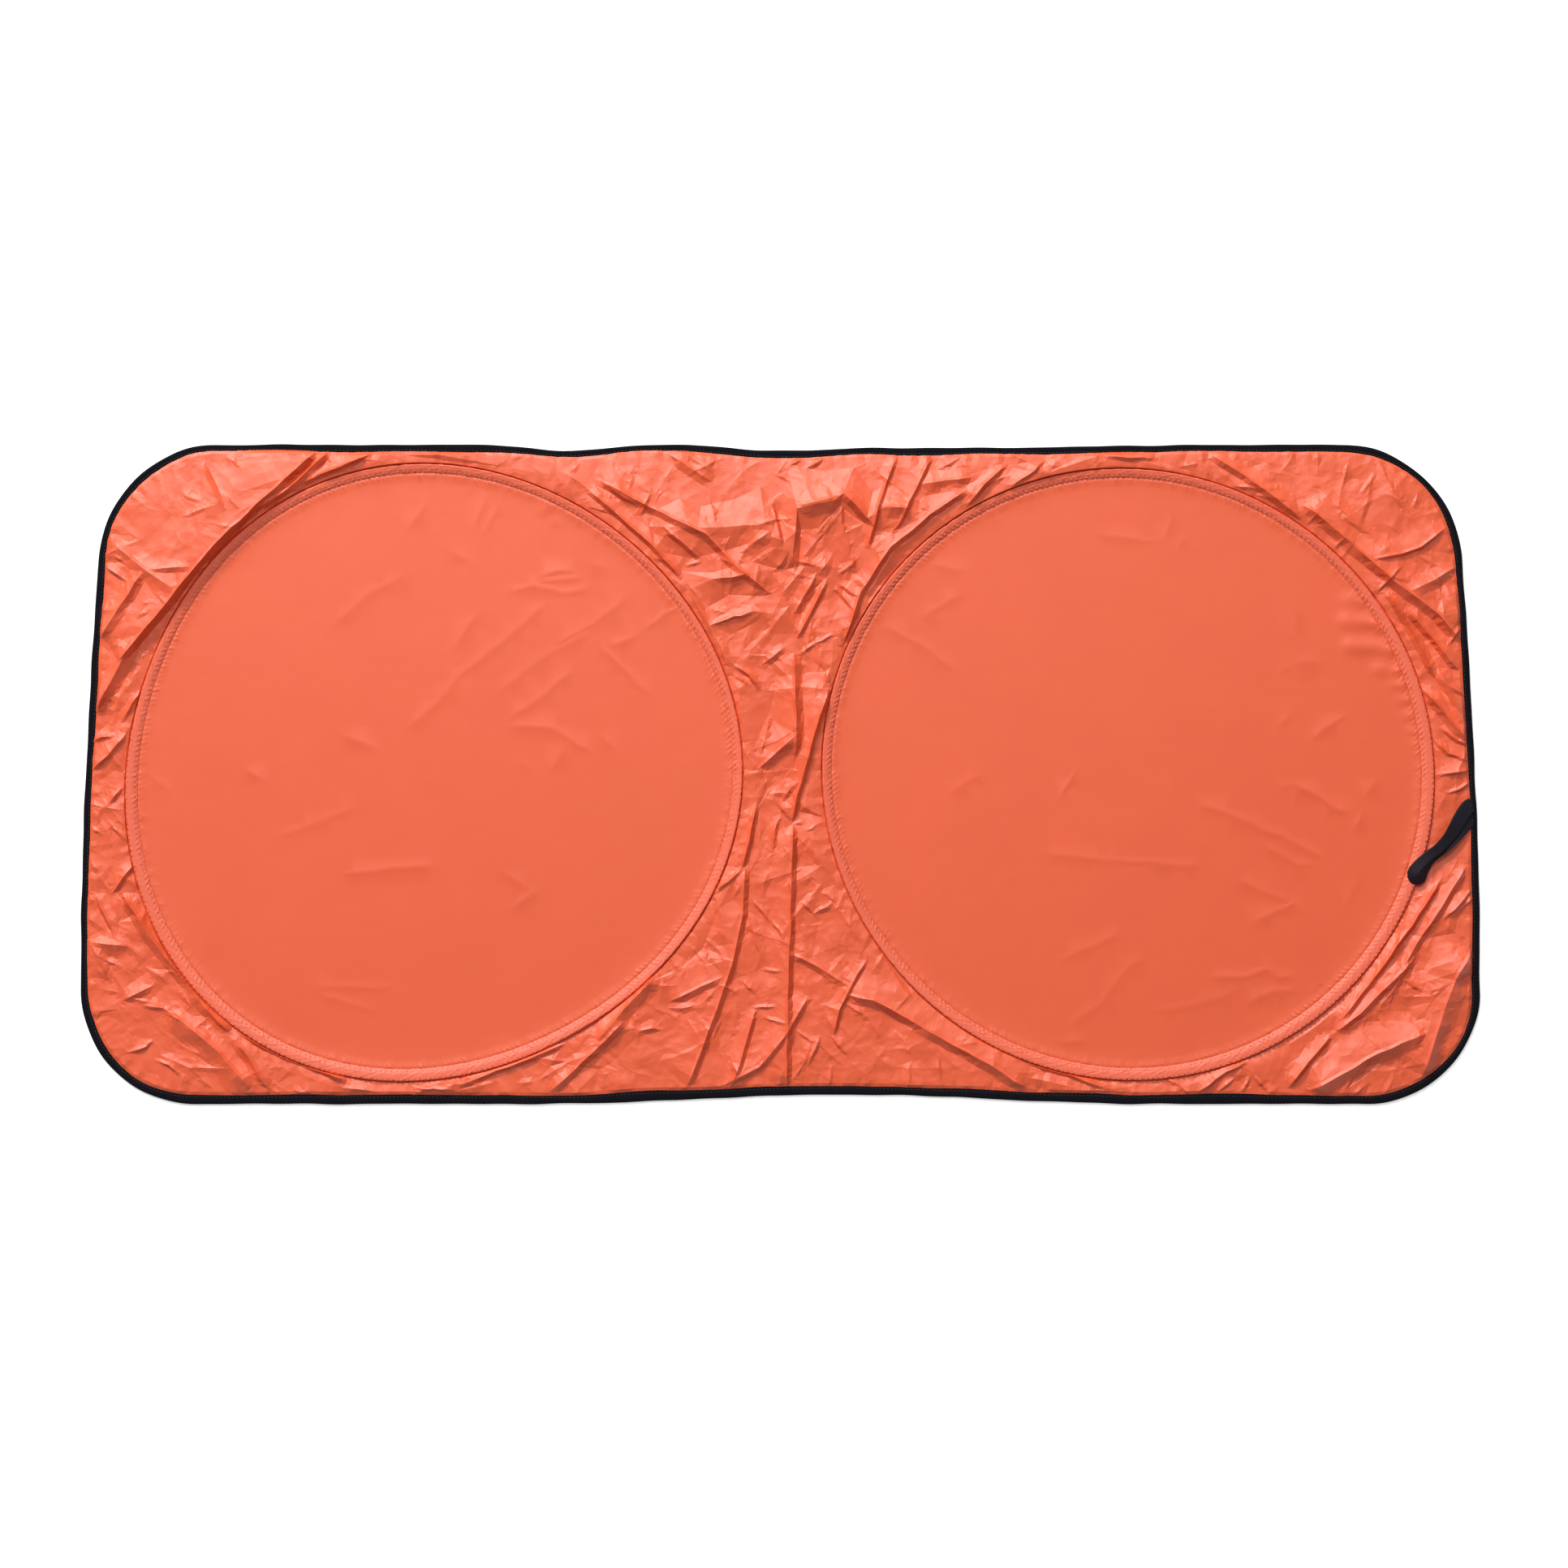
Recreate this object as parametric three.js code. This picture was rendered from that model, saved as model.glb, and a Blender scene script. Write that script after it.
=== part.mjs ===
// Folding windscreen sunshade, laid out flat with its sewn-in hoops open.
// Millimetres. X runs along the long side, Y up the short side, Z away from the surface it lies on.
// The origin is the middle of the footprint, on that surface.
import * as THREE from 'three';

// Driving dimensions
const hoopRadius = 324.5;        // middle of the spring wire
const waistGap = 98;             // between the two hoops at their closest
const sideMargin = 52;           // from a hoop to the short side
const edgeMargin = 29;           // from a hoop to the long side
const hoopOffset = -2.2;         // both hoops sit a little left of the middle
const hoopLift = 1.5;            // and a little above it
const hoopMapRadius = 324.5;     // the hoops' own shapes were read on a hoop of this radius
const cornerRadius = 122;
const sideLean = 17;             // the short sides lean in by this much towards the top
const sheetThickness = 0.4;      // coated polyester with its hem turnings
const clearance = 0.3;           // between pieces that are sewn together
const tapeThickness = 0.6;       // binding tape
const bindingWidth = 9.5;
const wireDiameter = 1.6;
const sleeveWall = 0.4;
const sleeveLength = 22;
const casingWidth = 13;
const casingCloth = 0.45;
const seamAllowance = 2.3;       // flat edge of the casing outside each row of stitches
const casingCrown = 2.8;         // width of the casing's top over the wire
const strapWidth = 10;
const strapThickness = 1;
const marginLoft = 3;            // how far the loose margin stands off the surface
const foldLimit = 15;            // the highest that a pile of folds stands
const foldMapWidth = 1500;       // the folds and the waves of the edge were read on a shade of this width
const foldMapHeight = 707;       // and of this height
const foldEnd = 16;              // a crest rises to its full height over this length from each end
const seamReach = 12;            // the margin reaches its full height this far from a seam
const strapRestInset = 34;       // the middle of the strap lies this far from the right end
const strapRestY = -60;
const strapRestReach = 62;

// Sizes that follow
const shadeWidth = 4 * hoopRadius + waistGap + 2 * sideMargin;
const shadeHeight = 2 * hoopRadius + 2 * edgeMargin;
const halfWidth = shadeWidth / 2;
const halfHeight = shadeHeight / 2;
const hoopSpread = hoopRadius + waistGap / 2;
const wireRadius = wireDiameter / 2;
const sleeveBore = wireRadius + clearance;
const sleeveRadius = sleeveBore + sleeveWall;
const hoopZ = sheetThickness + clearance + sleeveRadius;
const rimZ = tapeThickness + clearance;
const bindingHeight = 2 * tapeThickness + 2 * clearance + sheetThickness;
const casingInnerTop = hoopZ + sleeveRadius + clearance;
const casingTop = casingInnerTop + casingCloth;
const rimInset = tapeThickness + 2 * clearance;
const hemInset = bindingWidth + 2 * clearance;
const flatBand = casingWidth / 2 + 1;
const hoopScale = hoopRadius / hoopMapRadius;
const foldScale = shadeWidth / foldMapWidth;

// How finely the curves are stepped
const cornerSteps = 8;
const longSideSteps = 26;
const shortSideSteps = 10;
const hoopSteps = 64;
const rowStep = 14;              // between points along the sheet's rim and along each hoop
const rowClear = 7.5;            // free sheet points keep this far from those rows
const fillStep = 26;             // between the free points of the margin
const leastStep = 9;             // no two free points are closer than this

// The colours of the five materials
const orangeCloth = new THREE.MeshStandardMaterial({ color: 0xea6c4e, roughness: 0.55, metalness: 0 });
const casingTapeCloth = new THREE.MeshStandardMaterial({ color: 0xee7d66, roughness: 0.6, metalness: 0 });
const blackTape = new THREE.MeshStandardMaterial({ color: 0x0c0b0f, roughness: 0.8, metalness: 0 });
const springSteel = new THREE.MeshStandardMaterial({ color: 0xa9acb0, roughness: 0.3, metalness: 1 });
const blackElastic = new THREE.MeshStandardMaterial({ color: 0x100e12, roughness: 0.9, metalness: 0 });

// A rounded bump of height 1 that dies out at reach on both sides of its middle
function bump(value, middle, reach) {
  const away = Math.abs(value - middle) / reach;
  return away < 1 ? Math.cos(away * Math.PI / 2) ** 2 : 0;
}

// The rounded rectangle before it is bent: a closed run of points, anticlockwise from the lower right corner
function roundedRectangle() {
  const points = [];
  const flatX = halfWidth - cornerRadius;
  const flatY = halfHeight - cornerRadius;
  const quarter = Math.PI / 2;
  const corners = [[flatX, -flatY], [flatX, flatY], [-flatX, flatY], [-flatX, -flatY]];
  corners.forEach(([cx, cy], index) => {
    const start = (index - 1) * quarter;
    for (let step = 0; step < cornerSteps; step += 1) {
      const angle = start + quarter * step / cornerSteps;
      points.push([cx + cornerRadius * Math.cos(angle), cy + cornerRadius * Math.sin(angle)]);
    }
    const upright = index % 2 === 0;
    const steps = upright ? shortSideSteps : longSideSteps;
    const [nextX, nextY] = corners[(index + 1) % corners.length];
    const from = start + quarter;
    for (let step = 0; step < steps; step += 1) {
      const share = step / steps;
      const fromX = cx + cornerRadius * Math.cos(from);
      const fromY = cy + cornerRadius * Math.sin(from);
      const toX = nextX + cornerRadius * Math.cos(from);
      const toY = nextY + cornerRadius * Math.sin(from);
      points.push([fromX + (toX - fromX) * share, fromY + (toY - fromY) * share]);
    }
  });
  return points;
}

// The bound edge as it lies: the short sides lean in, and the long sides wave between the hoops
const leanStart = -0.48;         // share of the half height where the lean begins
const leanReach = 1.06;
const topDips = [[-0.313, 6.5, 0.127], [0, 5, 0.15], [0.24, 3.5, 0.45]];
const bottomRises = [[0.093, 10, 0.44]];
function bendEdge([x, y]) {
  const rise = Math.max(0, y / halfHeight - leanStart) / leanReach;
  const lean = sideLean * rise ** 1.5 * x / halfWidth;
  const waves = y > 0 ? topDips : bottomRises;
  let pull = 0;
  waves.forEach(([middle, depth, reach]) => {
    pull += depth * foldScale * bump(x / halfWidth, middle, reach);
  });
  const share = THREE.MathUtils.smoothstep(Math.abs(y) / halfHeight, 0.6, 0.95);
  return [x - lean, y - Math.sign(y) * pull * share];
}

// A hoop isn't quite round under the pull of the cloth, and each one has its own shape
const hoops = {
  left: { x: -hoopSpread + hoopOffset, y: hoopLift, grow: 1, lobes: [[2, 0, 5.3], [3, 6, -2.6]] },
  right: { x: hoopSpread + hoopOffset, y: hoopLift, grow: -1.5, lobes: [[2, 0, -2.9]] },
};
function hoopReach(hoop, angle) {
  let change = hoop.grow;
  hoop.lobes.forEach(([times, cosine, sine]) => {
    change += cosine * Math.cos(times * angle) + sine * Math.sin(times * angle);
  });
  return hoopRadius + change * hoopScale;
}
function hoopLine(hoop) {
  const points = [];
  for (let step = 0; step < hoopSteps; step += 1) {
    const angle = 2 * Math.PI * step / hoopSteps;
    const reach = hoopReach(hoop, angle);
    points.push([hoop.x + reach * Math.cos(angle), hoop.y + reach * Math.sin(angle)]);
  }
  return points;
}

// Stations of a closed line: each point with the outward direction that keeps a constant offset at its bend
function stationsOf(line) {
  return line.map(([x, y], index) => {
    const before = line[(index + line.length - 1) % line.length];
    const after = line[(index + 1) % line.length];
    const inLength = Math.hypot(x - before[0], y - before[1]);
    const outLength = Math.hypot(after[0] - x, after[1] - y);
    const inNormal = [(y - before[1]) / inLength, (before[0] - x) / inLength];
    const outNormal = [(after[1] - y) / outLength, (x - after[0]) / outLength];
    const sumX = inNormal[0] + outNormal[0];
    const sumY = inNormal[1] + outNormal[1];
    const share = 2 / (sumX * sumX + sumY * sumY);
    return { x, y, outX: sumX * share, outY: sumY * share };
  });
}
function offsetPoint(station, distance) {
  return [station.x + station.outX * distance, station.y + station.outY * distance];
}

// The chords of an offset line, each cut into equal steps no longer than rowStep
function steppedRow(stations, distance) {
  const row = [];
  stations.forEach((station, index) => {
    const from = offsetPoint(station, distance);
    const to = offsetPoint(stations[(index + 1) % stations.length], distance);
    const next = stations[(index + 1) % stations.length];
    const steps = Math.ceil(Math.hypot(next.x - station.x, next.y - station.y) / rowStep);
    for (let step = 0; step < steps; step += 1) {
      const share = step / steps;
      row.push([from[0] + (to[0] - from[0]) * share, from[1] + (to[1] - from[1]) * share]);
    }
  });
  return row;
}

function meshFrom(name, corners, triangles, material) {
  const geometry = new THREE.BufferGeometry();
  geometry.setAttribute('position', new THREE.Float32BufferAttribute(corners.flat(), 3));
  geometry.setIndex(triangles.flat());
  geometry.computeVertexNormals();
  const mesh = new THREE.Mesh(geometry, material);
  mesh.name = name;
  return mesh;
}

// A closed band: a section, anticlockwise in (outward, up), carried round a closed anticlockwise line
function bandMesh(name, section, stations, material) {
  const corners = [];
  const triangles = [];
  stations.forEach((station) => {
    section.forEach(([out, up]) => {
      const [x, y] = offsetPoint(station, out);
      corners.push([x, y, up]);
    });
  });
  const size = section.length;
  stations.forEach((station, index) => {
    const here = index * size;
    const there = ((index + 1) % stations.length) * size;
    for (let side = 0; side < size; side += 1) {
      const next = (side + 1) % size;
      triangles.push([here + side, there + side, there + next]);
      triangles.push([here + side, there + next, here + next]);
    }
  });
  return meshFrom(name, corners, triangles, material);
}

const edge = stationsOf(roundedRectangle().map(bendEdge));
const hoopStations = { left: stationsOf(hoopLine(hoops.left)), right: stationsOf(hoopLine(hoops.right)) };

// The tape is folded over the sheet's edge, so its section is a U that opens inwards
function bindingSection() {
  const low = tapeThickness;
  const high = bindingHeight - tapeThickness;
  const round = tapeThickness;
  const back = -tapeThickness - clearance / 3;
  return [
    [-bindingWidth, 0], [-round, 0], [-round / 4, bindingHeight / 6], [0, bindingHeight / 2],
    [-round / 4, bindingHeight * 5 / 6], [-round, bindingHeight], [-bindingWidth, bindingHeight],
    [-bindingWidth, high], [back, high], [back, low], [-bindingWidth, low],
  ];
}

function wireSection() {
  const sides = 6;
  const section = [];
  for (let side = 0; side < sides; side += 1) {
    const angle = 2 * Math.PI * side / sides;
    section.push([wireRadius * Math.cos(angle), hoopZ + wireRadius * Math.sin(angle)]);
  }
  return section;
}

// The casing is a strip of cloth sewn down along both edges, arched over the wire
function casingSection() {
  const flat = sheetThickness;
  const edgeTop = sheetThickness + casingCloth;
  const half = casingWidth / 2;
  const foot = half - seamAllowance;
  const crown = casingCrown / 2;
  const lean = casingCloth * 0.8;
  const turn = casingCloth / 3;
  return [
    [half, flat], [half - turn, edgeTop], [foot + lean, edgeTop], [crown + turn, casingTop],
    [-crown - turn, casingTop], [-foot - lean, edgeTop], [-half + turn, edgeTop], [-half, flat],
    [-foot, flat], [-crown, casingInnerTop], [crown, casingInnerTop], [foot, flat],
  ];
}

// The crimped sleeve that joins the wire's two ends, on one straight step of the hoop
function sleeveMesh(name, stations) {
  const half = sleeveLength / 2;
  const profile = [
    new THREE.Vector2(sleeveBore, -half), new THREE.Vector2(sleeveRadius, -half),
    new THREE.Vector2(sleeveRadius, half), new THREE.Vector2(sleeveBore, half),
    new THREE.Vector2(sleeveBore, -half),
  ];
  const mesh = new THREE.Mesh(new THREE.LatheGeometry(profile, 12), springSteel);
  const last = stations[stations.length - 1];
  const first = stations[0];
  mesh.position.set((first.x + last.x) / 2, (first.y + last.y) / 2, hoopZ);
  mesh.rotation.z = Math.atan2(first.y - last.y, first.x - last.x) - Math.PI / 2;
  mesh.name = name;
  return mesh;
}

// The folds of the loose margin, read on a shade of this size and kept in step with it.
// Each is a crest line with its height, the width of its broad side on the left of the way the
// line runs, and the width of its steep side on the right.
const folds = [
  // top left corner: the lap that runs from the long side to the short one, and what crosses it
  { height: 12, broad: 58, steep: 10,
    line: [[-707, 122], [-668, 168], [-646, 196], [-604, 246], [-550, 297], [-497, 345]] },
  { height: 6, broad: 9, steep: 9, line: [[-560, 284], [-530, 303], [-505, 325], [-484, 345]] },
  { height: 4, broad: 9, steep: 7, line: [[-512, 312], [-472, 328], [-440, 342]] },
  { height: 5, broad: 16, steep: 26, line: [[-714, 246], [-690, 227], [-668, 211], [-648, 197]] },
  { height: 4, broad: 10, steep: 9, line: [[-672, 219], [-650, 221], [-630, 222]] },
  { height: 7, broad: 12, steep: 13, line: [[-728, 146], [-712, 170], [-697, 192], [-682, 216]] },
  { height: 3, broad: 16, steep: 7, line: [[-593, 281], [-606, 308], [-619, 334]] },
  { height: 4, broad: 14, steep: 7, line: [[-722, 222], [-700, 207]] },
  // left side, between the hoop and the binding
  { height: 8, broad: 14, steep: 18, line: [[-737, 62], [-722, 88], [-706, 118], [-690, 146]] },
  { height: 4, broad: 14, steep: 8, line: [[-738, 4], [-720, 20], [-701, 42]] },
  { height: 4, broad: 8, steep: 8, line: [[-721, -33], [-706, -15]] },
  { height: 4, broad: 10, steep: 8, line: [[-716, -128], [-702, -108], [-692, -96]] },
  // lower left corner
  { height: 6, broad: 9, steep: 15,
    line: [[-704, -128], [-672, -178], [-645, -212], [-618, -248], [-590, -276]] },
  { height: 7, broad: 12, steep: 30, line: [[-655, -255], [-628, -274], [-600, -298], [-568, -337]] },
  { height: 5, broad: 12, steep: 14, line: [[-584, -283], [-568, -304], [-549, -337]] },
  { height: 6, broad: 10, steep: 9, line: [[-575, -281], [-540, -297], [-500, -314], [-465, -328]] },
  { height: 5, broad: 14, steep: 24, line: [[-738, -180], [-718, -182], [-698, -184]] },
  { height: 4, broad: 14, steep: 14, line: [[-719, -220], [-727, -202], [-737, -184]] },
  { height: 4, broad: 12, steep: 12, line: [[-704, -242], [-672, -226]] },
  // bottom, left of the middle
  { height: 5, broad: 10, steep: 8, line: [[-345, -333], [-315, -322], [-270, -305], [-232, -289]] },
  { height: 7, broad: 10, steep: 18, line: [[-247, -340], [-222, -318], [-195, -292], [-168, -266]] },
  { height: 7, broad: 16, steep: 22, line: [[-196, -285], [-168, -252], [-132, -214]] },
  { height: 9, broad: 32, steep: 20,
    line: [[-100, -334], [-86, -300], [-72, -262], [-52, -205], [-40, -150], [-38, -100]] },
  { height: 4, broad: 25, steep: 12, line: [[-118, -243], [-62, -217]] },
  { height: 4, broad: 18, steep: 9, line: [[-55, -330], [-22, -313], [8, -276], [30, -238]] },
  { height: 4, broad: 15, steep: 8, line: [[-53, -334], [-40, -298], [-27, -252]] },
  // the waist: the crease of the fold in half, and the pleats beside it
  { height: 6, broad: 24, steep: 10,
    line: [[7, -335], [8, -260], [9, -200], [11, -150], [12, -100], [13, -55]] },
  { height: 7, broad: 22, steep: 13, line: [[16, 20], [17, 50], [16, 90], [14, 130]] },
  { height: 6, broad: 12, steep: 8, line: [[13, -50], [18, -22], [26, 5], [38, 48], [52, 90]] },
  { height: 6, broad: 22, steep: 14, line: [[-22, 7], [0, 27], [17, 42]] },
  { height: 5, broad: 10, steep: 8, line: [[-41, -100], [-33, -70], [-26, -32]] },
  // top, left of the middle
  { height: 5, broad: 28, steep: 11,
    line: [[-193, 314], [-150, 291], [-115, 273], [-80, 257], [-48, 223], [-12, 194]] },
  { height: 5, broad: 12, steep: 8, line: [[-205, 304], [-172, 276], [-140, 248], [-108, 212]] },
  { height: 4, broad: 14, steep: 8, line: [[-124, 264], [-105, 248], [-86, 231]] },
  { height: 4, broad: 26, steep: 14, line: [[-118, 342], [-95, 327], [-73, 313]] },
  { height: 5, broad: 14, steep: 22, line: [[-42, 237], [-28, 248], [-12, 258]] },
  { height: 3, broad: 20, steep: 8, line: [[2, 243], [-4, 268], [-10, 292]] },
  // top, right of the middle
  { height: 5, broad: 16, steep: 24, line: [[20, 287], [40, 291], [64, 298]] },
  { height: 5, broad: 10, steep: 10, line: [[66, 301], [80, 288], [93, 272]] },
  { height: 6, broad: 18, steep: 9, line: [[68, 142], [86, 195], [118, 243], [160, 278], [200, 304]] },
  { height: 5, broad: 12, steep: 20, line: [[108, 287], [140, 284]] },
  { height: 4, broad: 12, steep: 8, line: [[124, 262], [145, 305], [160, 338]] },
  { height: 4, broad: 10, steep: 8, line: [[93, 241], [104, 285], [123, 338]] },
  { height: 5, broad: 12, steep: 13, line: [[15, 172], [26, 192], [38, 213]] },
  { height: 4, broad: 8, steep: 8, line: [[18, 146], [40, 188], [50, 208]] },
  { height: 5, broad: 15, steep: 20, line: [[150, 311], [205, 318]] },
  { height: 5, broad: 10, steep: 8, line: [[200, 288], [218, 310], [240, 330]] },
  // bottom, right of the middle
  { height: 9, broad: 28, steep: 16,
    line: [[72, -236], [100, -242], [130, -258], [185, -290], [225, -311], [262, -335]] },
  { height: 4, broad: 12, steep: 8, line: [[57, -280], [63, -252], [75, -228], [92, -200]] },
  { height: 4, broad: 20, steep: 10, line: [[10, -192], [40, -206], [72, -226]] },
  { height: 4, broad: 9, steep: 8, line: [[240, -296], [280, -313], [320, -326], [348, -336]] },
  // lower right corner
  { height: 9, broad: 32, steep: 20, line: [[568, -338], [600, -321], [640, -298], [690, -277]] },
  { height: 10, broad: 34, steep: 28,
    line: [[688, -322], [698, -290], [712, -245], [724, -215], [740, -190]] },
  { height: 6, broad: 14, steep: 11, line: [[596, -276], [622, -255], [650, -226], [676, -202]] },
  { height: 6, broad: 12, steep: 9, line: [[545, -335], [565, -308], [590, -280]] },
  { height: 6, broad: 9, steep: 9,
    line: [[602, -262], [622, -235], [645, -205], [668, -172], [690, -140], [706, -115]] },
  { height: 5, broad: 11, steep: 11,
    line: [[668, -205], [682, -180], [702, -150], [722, -118], [734, -100]] },
  // right side, where the cloth gathers towards the binding
  { height: 6, broad: 14, steep: 11, line: [[690, 90], [712, 64], [740, 32]] },
  { height: 5, broad: 12, steep: 11, line: [[704, 112], [722, 76], [740, 40]] },
  { height: 4, broad: 14, steep: 8, line: [[706, 0], [722, 2], [738, 4]] },
  // top right corner
  { height: 5, broad: 14, steep: 10, line: [[462, 342], [490, 324], [520, 303], [555, 276]] },
  { height: 8, broad: 30, steep: 13, line: [[560, 288], [610, 248], [655, 207], [703, 172], [724, 148]] },
  { height: 4, broad: 20, steep: 8, line: [[635, 230], [665, 236], [685, 243], [711, 263]] },
  { height: 5, broad: 14, steep: 16, line: [[674, 196], [700, 208], [725, 223]] },
  { height: 5, broad: 12, steep: 9, line: [[668, 178], [690, 155], [710, 131], [726, 112]] },
  { height: 4, broad: 9, steep: 8, line: [[648, 195], [668, 165], [684, 135], [700, 104]] },
].map((fold) => ({
  height: fold.height * foldScale,
  broad: fold.broad * foldScale,
  steep: fold.steep * foldScale,
  line: fold.line.map(([x, y]) => [x * foldScale, y * shadeHeight / foldMapHeight]),
}));

// How far one fold lifts the sheet at a point
function foldRise(fold, x, y) {
  let best = Infinity;
  let rise = 0;
  let walked = 0;
  const lengths = fold.line.slice(1).map(([bx, by], index) => {
    const [ax, ay] = fold.line[index];
    return Math.hypot(bx - ax, by - ay);
  });
  const whole = lengths.reduce((sum, length) => sum + length, 0);
  lengths.forEach((length, index) => {
    const [ax, ay] = fold.line[index];
    const [bx, by] = fold.line[index + 1];
    const alongX = (bx - ax) / length;
    const alongY = (by - ay) / length;
    const along = THREE.MathUtils.clamp((x - ax) * alongX + (y - ay) * alongY, 0, length);
    const away = Math.hypot(x - ax - alongX * along, y - ay - alongY * along);
    if (away < best) {
      best = away;
      const leftOf = alongX * (y - ay) - alongY * (x - ax) > 0;
      const width = leftOf ? fold.broad : fold.steep;
      const place = walked + along;
      const full = Math.min(1, (place + 2) / foldEnd, (whole - place + 2) / foldEnd);
      rise = away < width ? fold.height * full * (1 - away / width) : 0;
    }
    walked += length;
  });
  return rise;
}

// Signed room around a point: how far it is inside the bound edge, and outside the nearer hoop
function roomInsideEdge(x, y) {
  let room = Infinity;
  let crossings = 0;
  edge.forEach((from, index) => {
    const to = edge[(index + 1) % edge.length];
    const dx = to.x - from.x;
    const dy = to.y - from.y;
    const along = THREE.MathUtils.clamp(((x - from.x) * dx + (y - from.y) * dy) / (dx * dx + dy * dy), 0, 1);
    room = Math.min(room, Math.hypot(x - from.x - dx * along, y - from.y - dy * along));
    if ((from.y > y) !== (to.y > y) && x < from.x + dx * (y - from.y) / dy) {
      crossings += 1;
    }
  });
  return crossings % 2 === 1 ? room : -room;
}
function roomOutsideHoops(x, y) {
  const rooms = Object.values(hoops).map((hoop) => {
    const angle = Math.atan2(y - hoop.y, x - hoop.x);
    return Math.hypot(x - hoop.x, y - hoop.y) - hoopReach(hoop, angle);
  });
  return Math.min(...rooms);
}

// The strap keeps the folds under it low
const strapRest = { x: halfWidth - strapRestInset, y: strapRestY, reach: strapRestReach };
const pressedShare = 0.85;

// Underside of the sheet at a free point of the margin
function marginHeight(x, y) {
  const fromHem = roomInsideEdge(x, y) - hemInset;
  const fromHoop = roomOutsideHoops(x, y) - flatBand;
  const free = Math.min(1, fromHem / seamReach) * Math.min(1, fromHoop / seamReach);
  const pressed = 1 - pressedShare * bump(Math.hypot(x - strapRest.x, y - strapRest.y), 0, strapRest.reach);
  const pile = folds.reduce((sum, fold) => sum + foldRise(fold, x, y), 0);
  const rise = marginLoft + foldLimit * (1 - Math.exp(-pile / foldLimit));
  return rimZ * fromHoop / (fromHoop + fromHem) + rise * free * pressed;
}

// Every point of the sheet, with the height of its underside
function sheetPoints() {
  const points = [];
  const add = (list, heightAt) => list.forEach(([x, y]) => points.push([x, y, heightAt(x, y)]));
  const rim = steppedRow(edge, -rimInset);
  add(rim, () => rimZ);
  add(steppedRow(edge, -hemInset), () => rimZ);
  Object.entries(hoops).forEach(([side, hoop]) => {
    add(steppedRow(hoopStations[side], flatBand), () => 0);
    add([[hoop.x, hoop.y]], () => 0);
    [[0.3, 12], [0.68, 36]].forEach(([share, count]) => {
      for (let step = 0; step < count; step += 1) {
        const angle = 2 * Math.PI * step / count;
        const reach = share * hoopRadius;
        add([[hoop.x + reach * Math.cos(angle), hoop.y + reach * Math.sin(angle)]], () => 0);
      }
    });
  });
  const fixed = points.length;
  const addFree = (x, y) => {
    const inMargin = roomInsideEdge(x, y) > hemInset + rowClear
      && roomOutsideHoops(x, y) > flatBand + rowClear;
    const alone = points.slice(fixed).every(([px, py]) => Math.hypot(px - x, py - y) > leastStep);
    if (inMargin && alone) {
      points.push([x, y, marginHeight(x, y)]);
    }
  };
  // the crests first, then the feet of their steep and broad sides
  [0, 1, -1].forEach((side) => folds.forEach((fold) => {
    fold.line.slice(1).forEach(([bx, by], index) => {
      const [ax, ay] = fold.line[index];
      const length = Math.hypot(bx - ax, by - ay);
      const steps = Math.ceil(length / rowStep);
      const away = side > 0 ? fold.steep : side * fold.broad;
      const outX = (by - ay) / length * away * Math.abs(side);
      const outY = -(bx - ax) / length * away * Math.abs(side);
      for (let step = 0; step <= steps; step += 1) {
        const share = step / steps;
        addFree(ax + (bx - ax) * share + outX, ay + (by - ay) * share + outY);
      }
    });
  }));
  // what is left is filled on a three-way grid
  const rowHeight = fillStep * Math.sqrt(3) / 2;
  const rows = Math.ceil(halfHeight / rowHeight);
  const columns = Math.ceil(halfWidth / fillStep);
  for (let row = -rows; row <= rows; row += 1) {
    for (let column = -columns; column <= columns; column += 1) {
      addFree((column + (row % 2 === 0 ? 0 : 0.5)) * fillStep, row * rowHeight);
    }
  }
  return { points, rimCount: rim.length };
}

// Delaunay triangles over the points, added one at a time inside one great triangle
function delaunay(points) {
  const far = 20 * shadeWidth;
  const all = [...points, [-far, -far], [far, -far], [0, far]];
  const circled = (a, b, c) => {
    const [ax, ay] = all[a];
    const bx = all[b][0] - ax;
    const by = all[b][1] - ay;
    const cx = all[c][0] - ax;
    const cy = all[c][1] - ay;
    const twice = 2 * (bx * cy - by * cx);
    const ux = (cy * (bx * bx + by * by) - by * (cx * cx + cy * cy)) / twice;
    const uy = (bx * (cx * cx + cy * cy) - cx * (bx * bx + by * by)) / twice;
    return { corners: [a, b, c], x: ax + ux, y: ay + uy, square: ux * ux + uy * uy };
  };
  const count = points.length;
  let triangles = [circled(count, count + 1, count + 2)];
  for (let index = 0; index < count; index += 1) {
    const [x, y] = all[index];
    const kept = [];
    const open = new Map();
    triangles.forEach((triangle) => {
      const inside = (triangle.x - x) ** 2 + (triangle.y - y) ** 2 < triangle.square * (1 - 1e-12);
      if (!inside) {
        kept.push(triangle);
        return;
      }
      triangle.corners.forEach((from, side) => {
        const to = triangle.corners[(side + 1) % 3];
        const back = `${to} ${from}`;
        if (open.has(back)) {
          open.delete(back);
        } else {
          open.set(`${from} ${to}`, [from, to]);
        }
      });
    });
    open.forEach(([from, to]) => kept.push(circled(from, to, index)));
    triangles = kept;
  }
  return triangles.map((triangle) => triangle.corners).filter((corners) => Math.max(...corners) < count);
}

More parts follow.
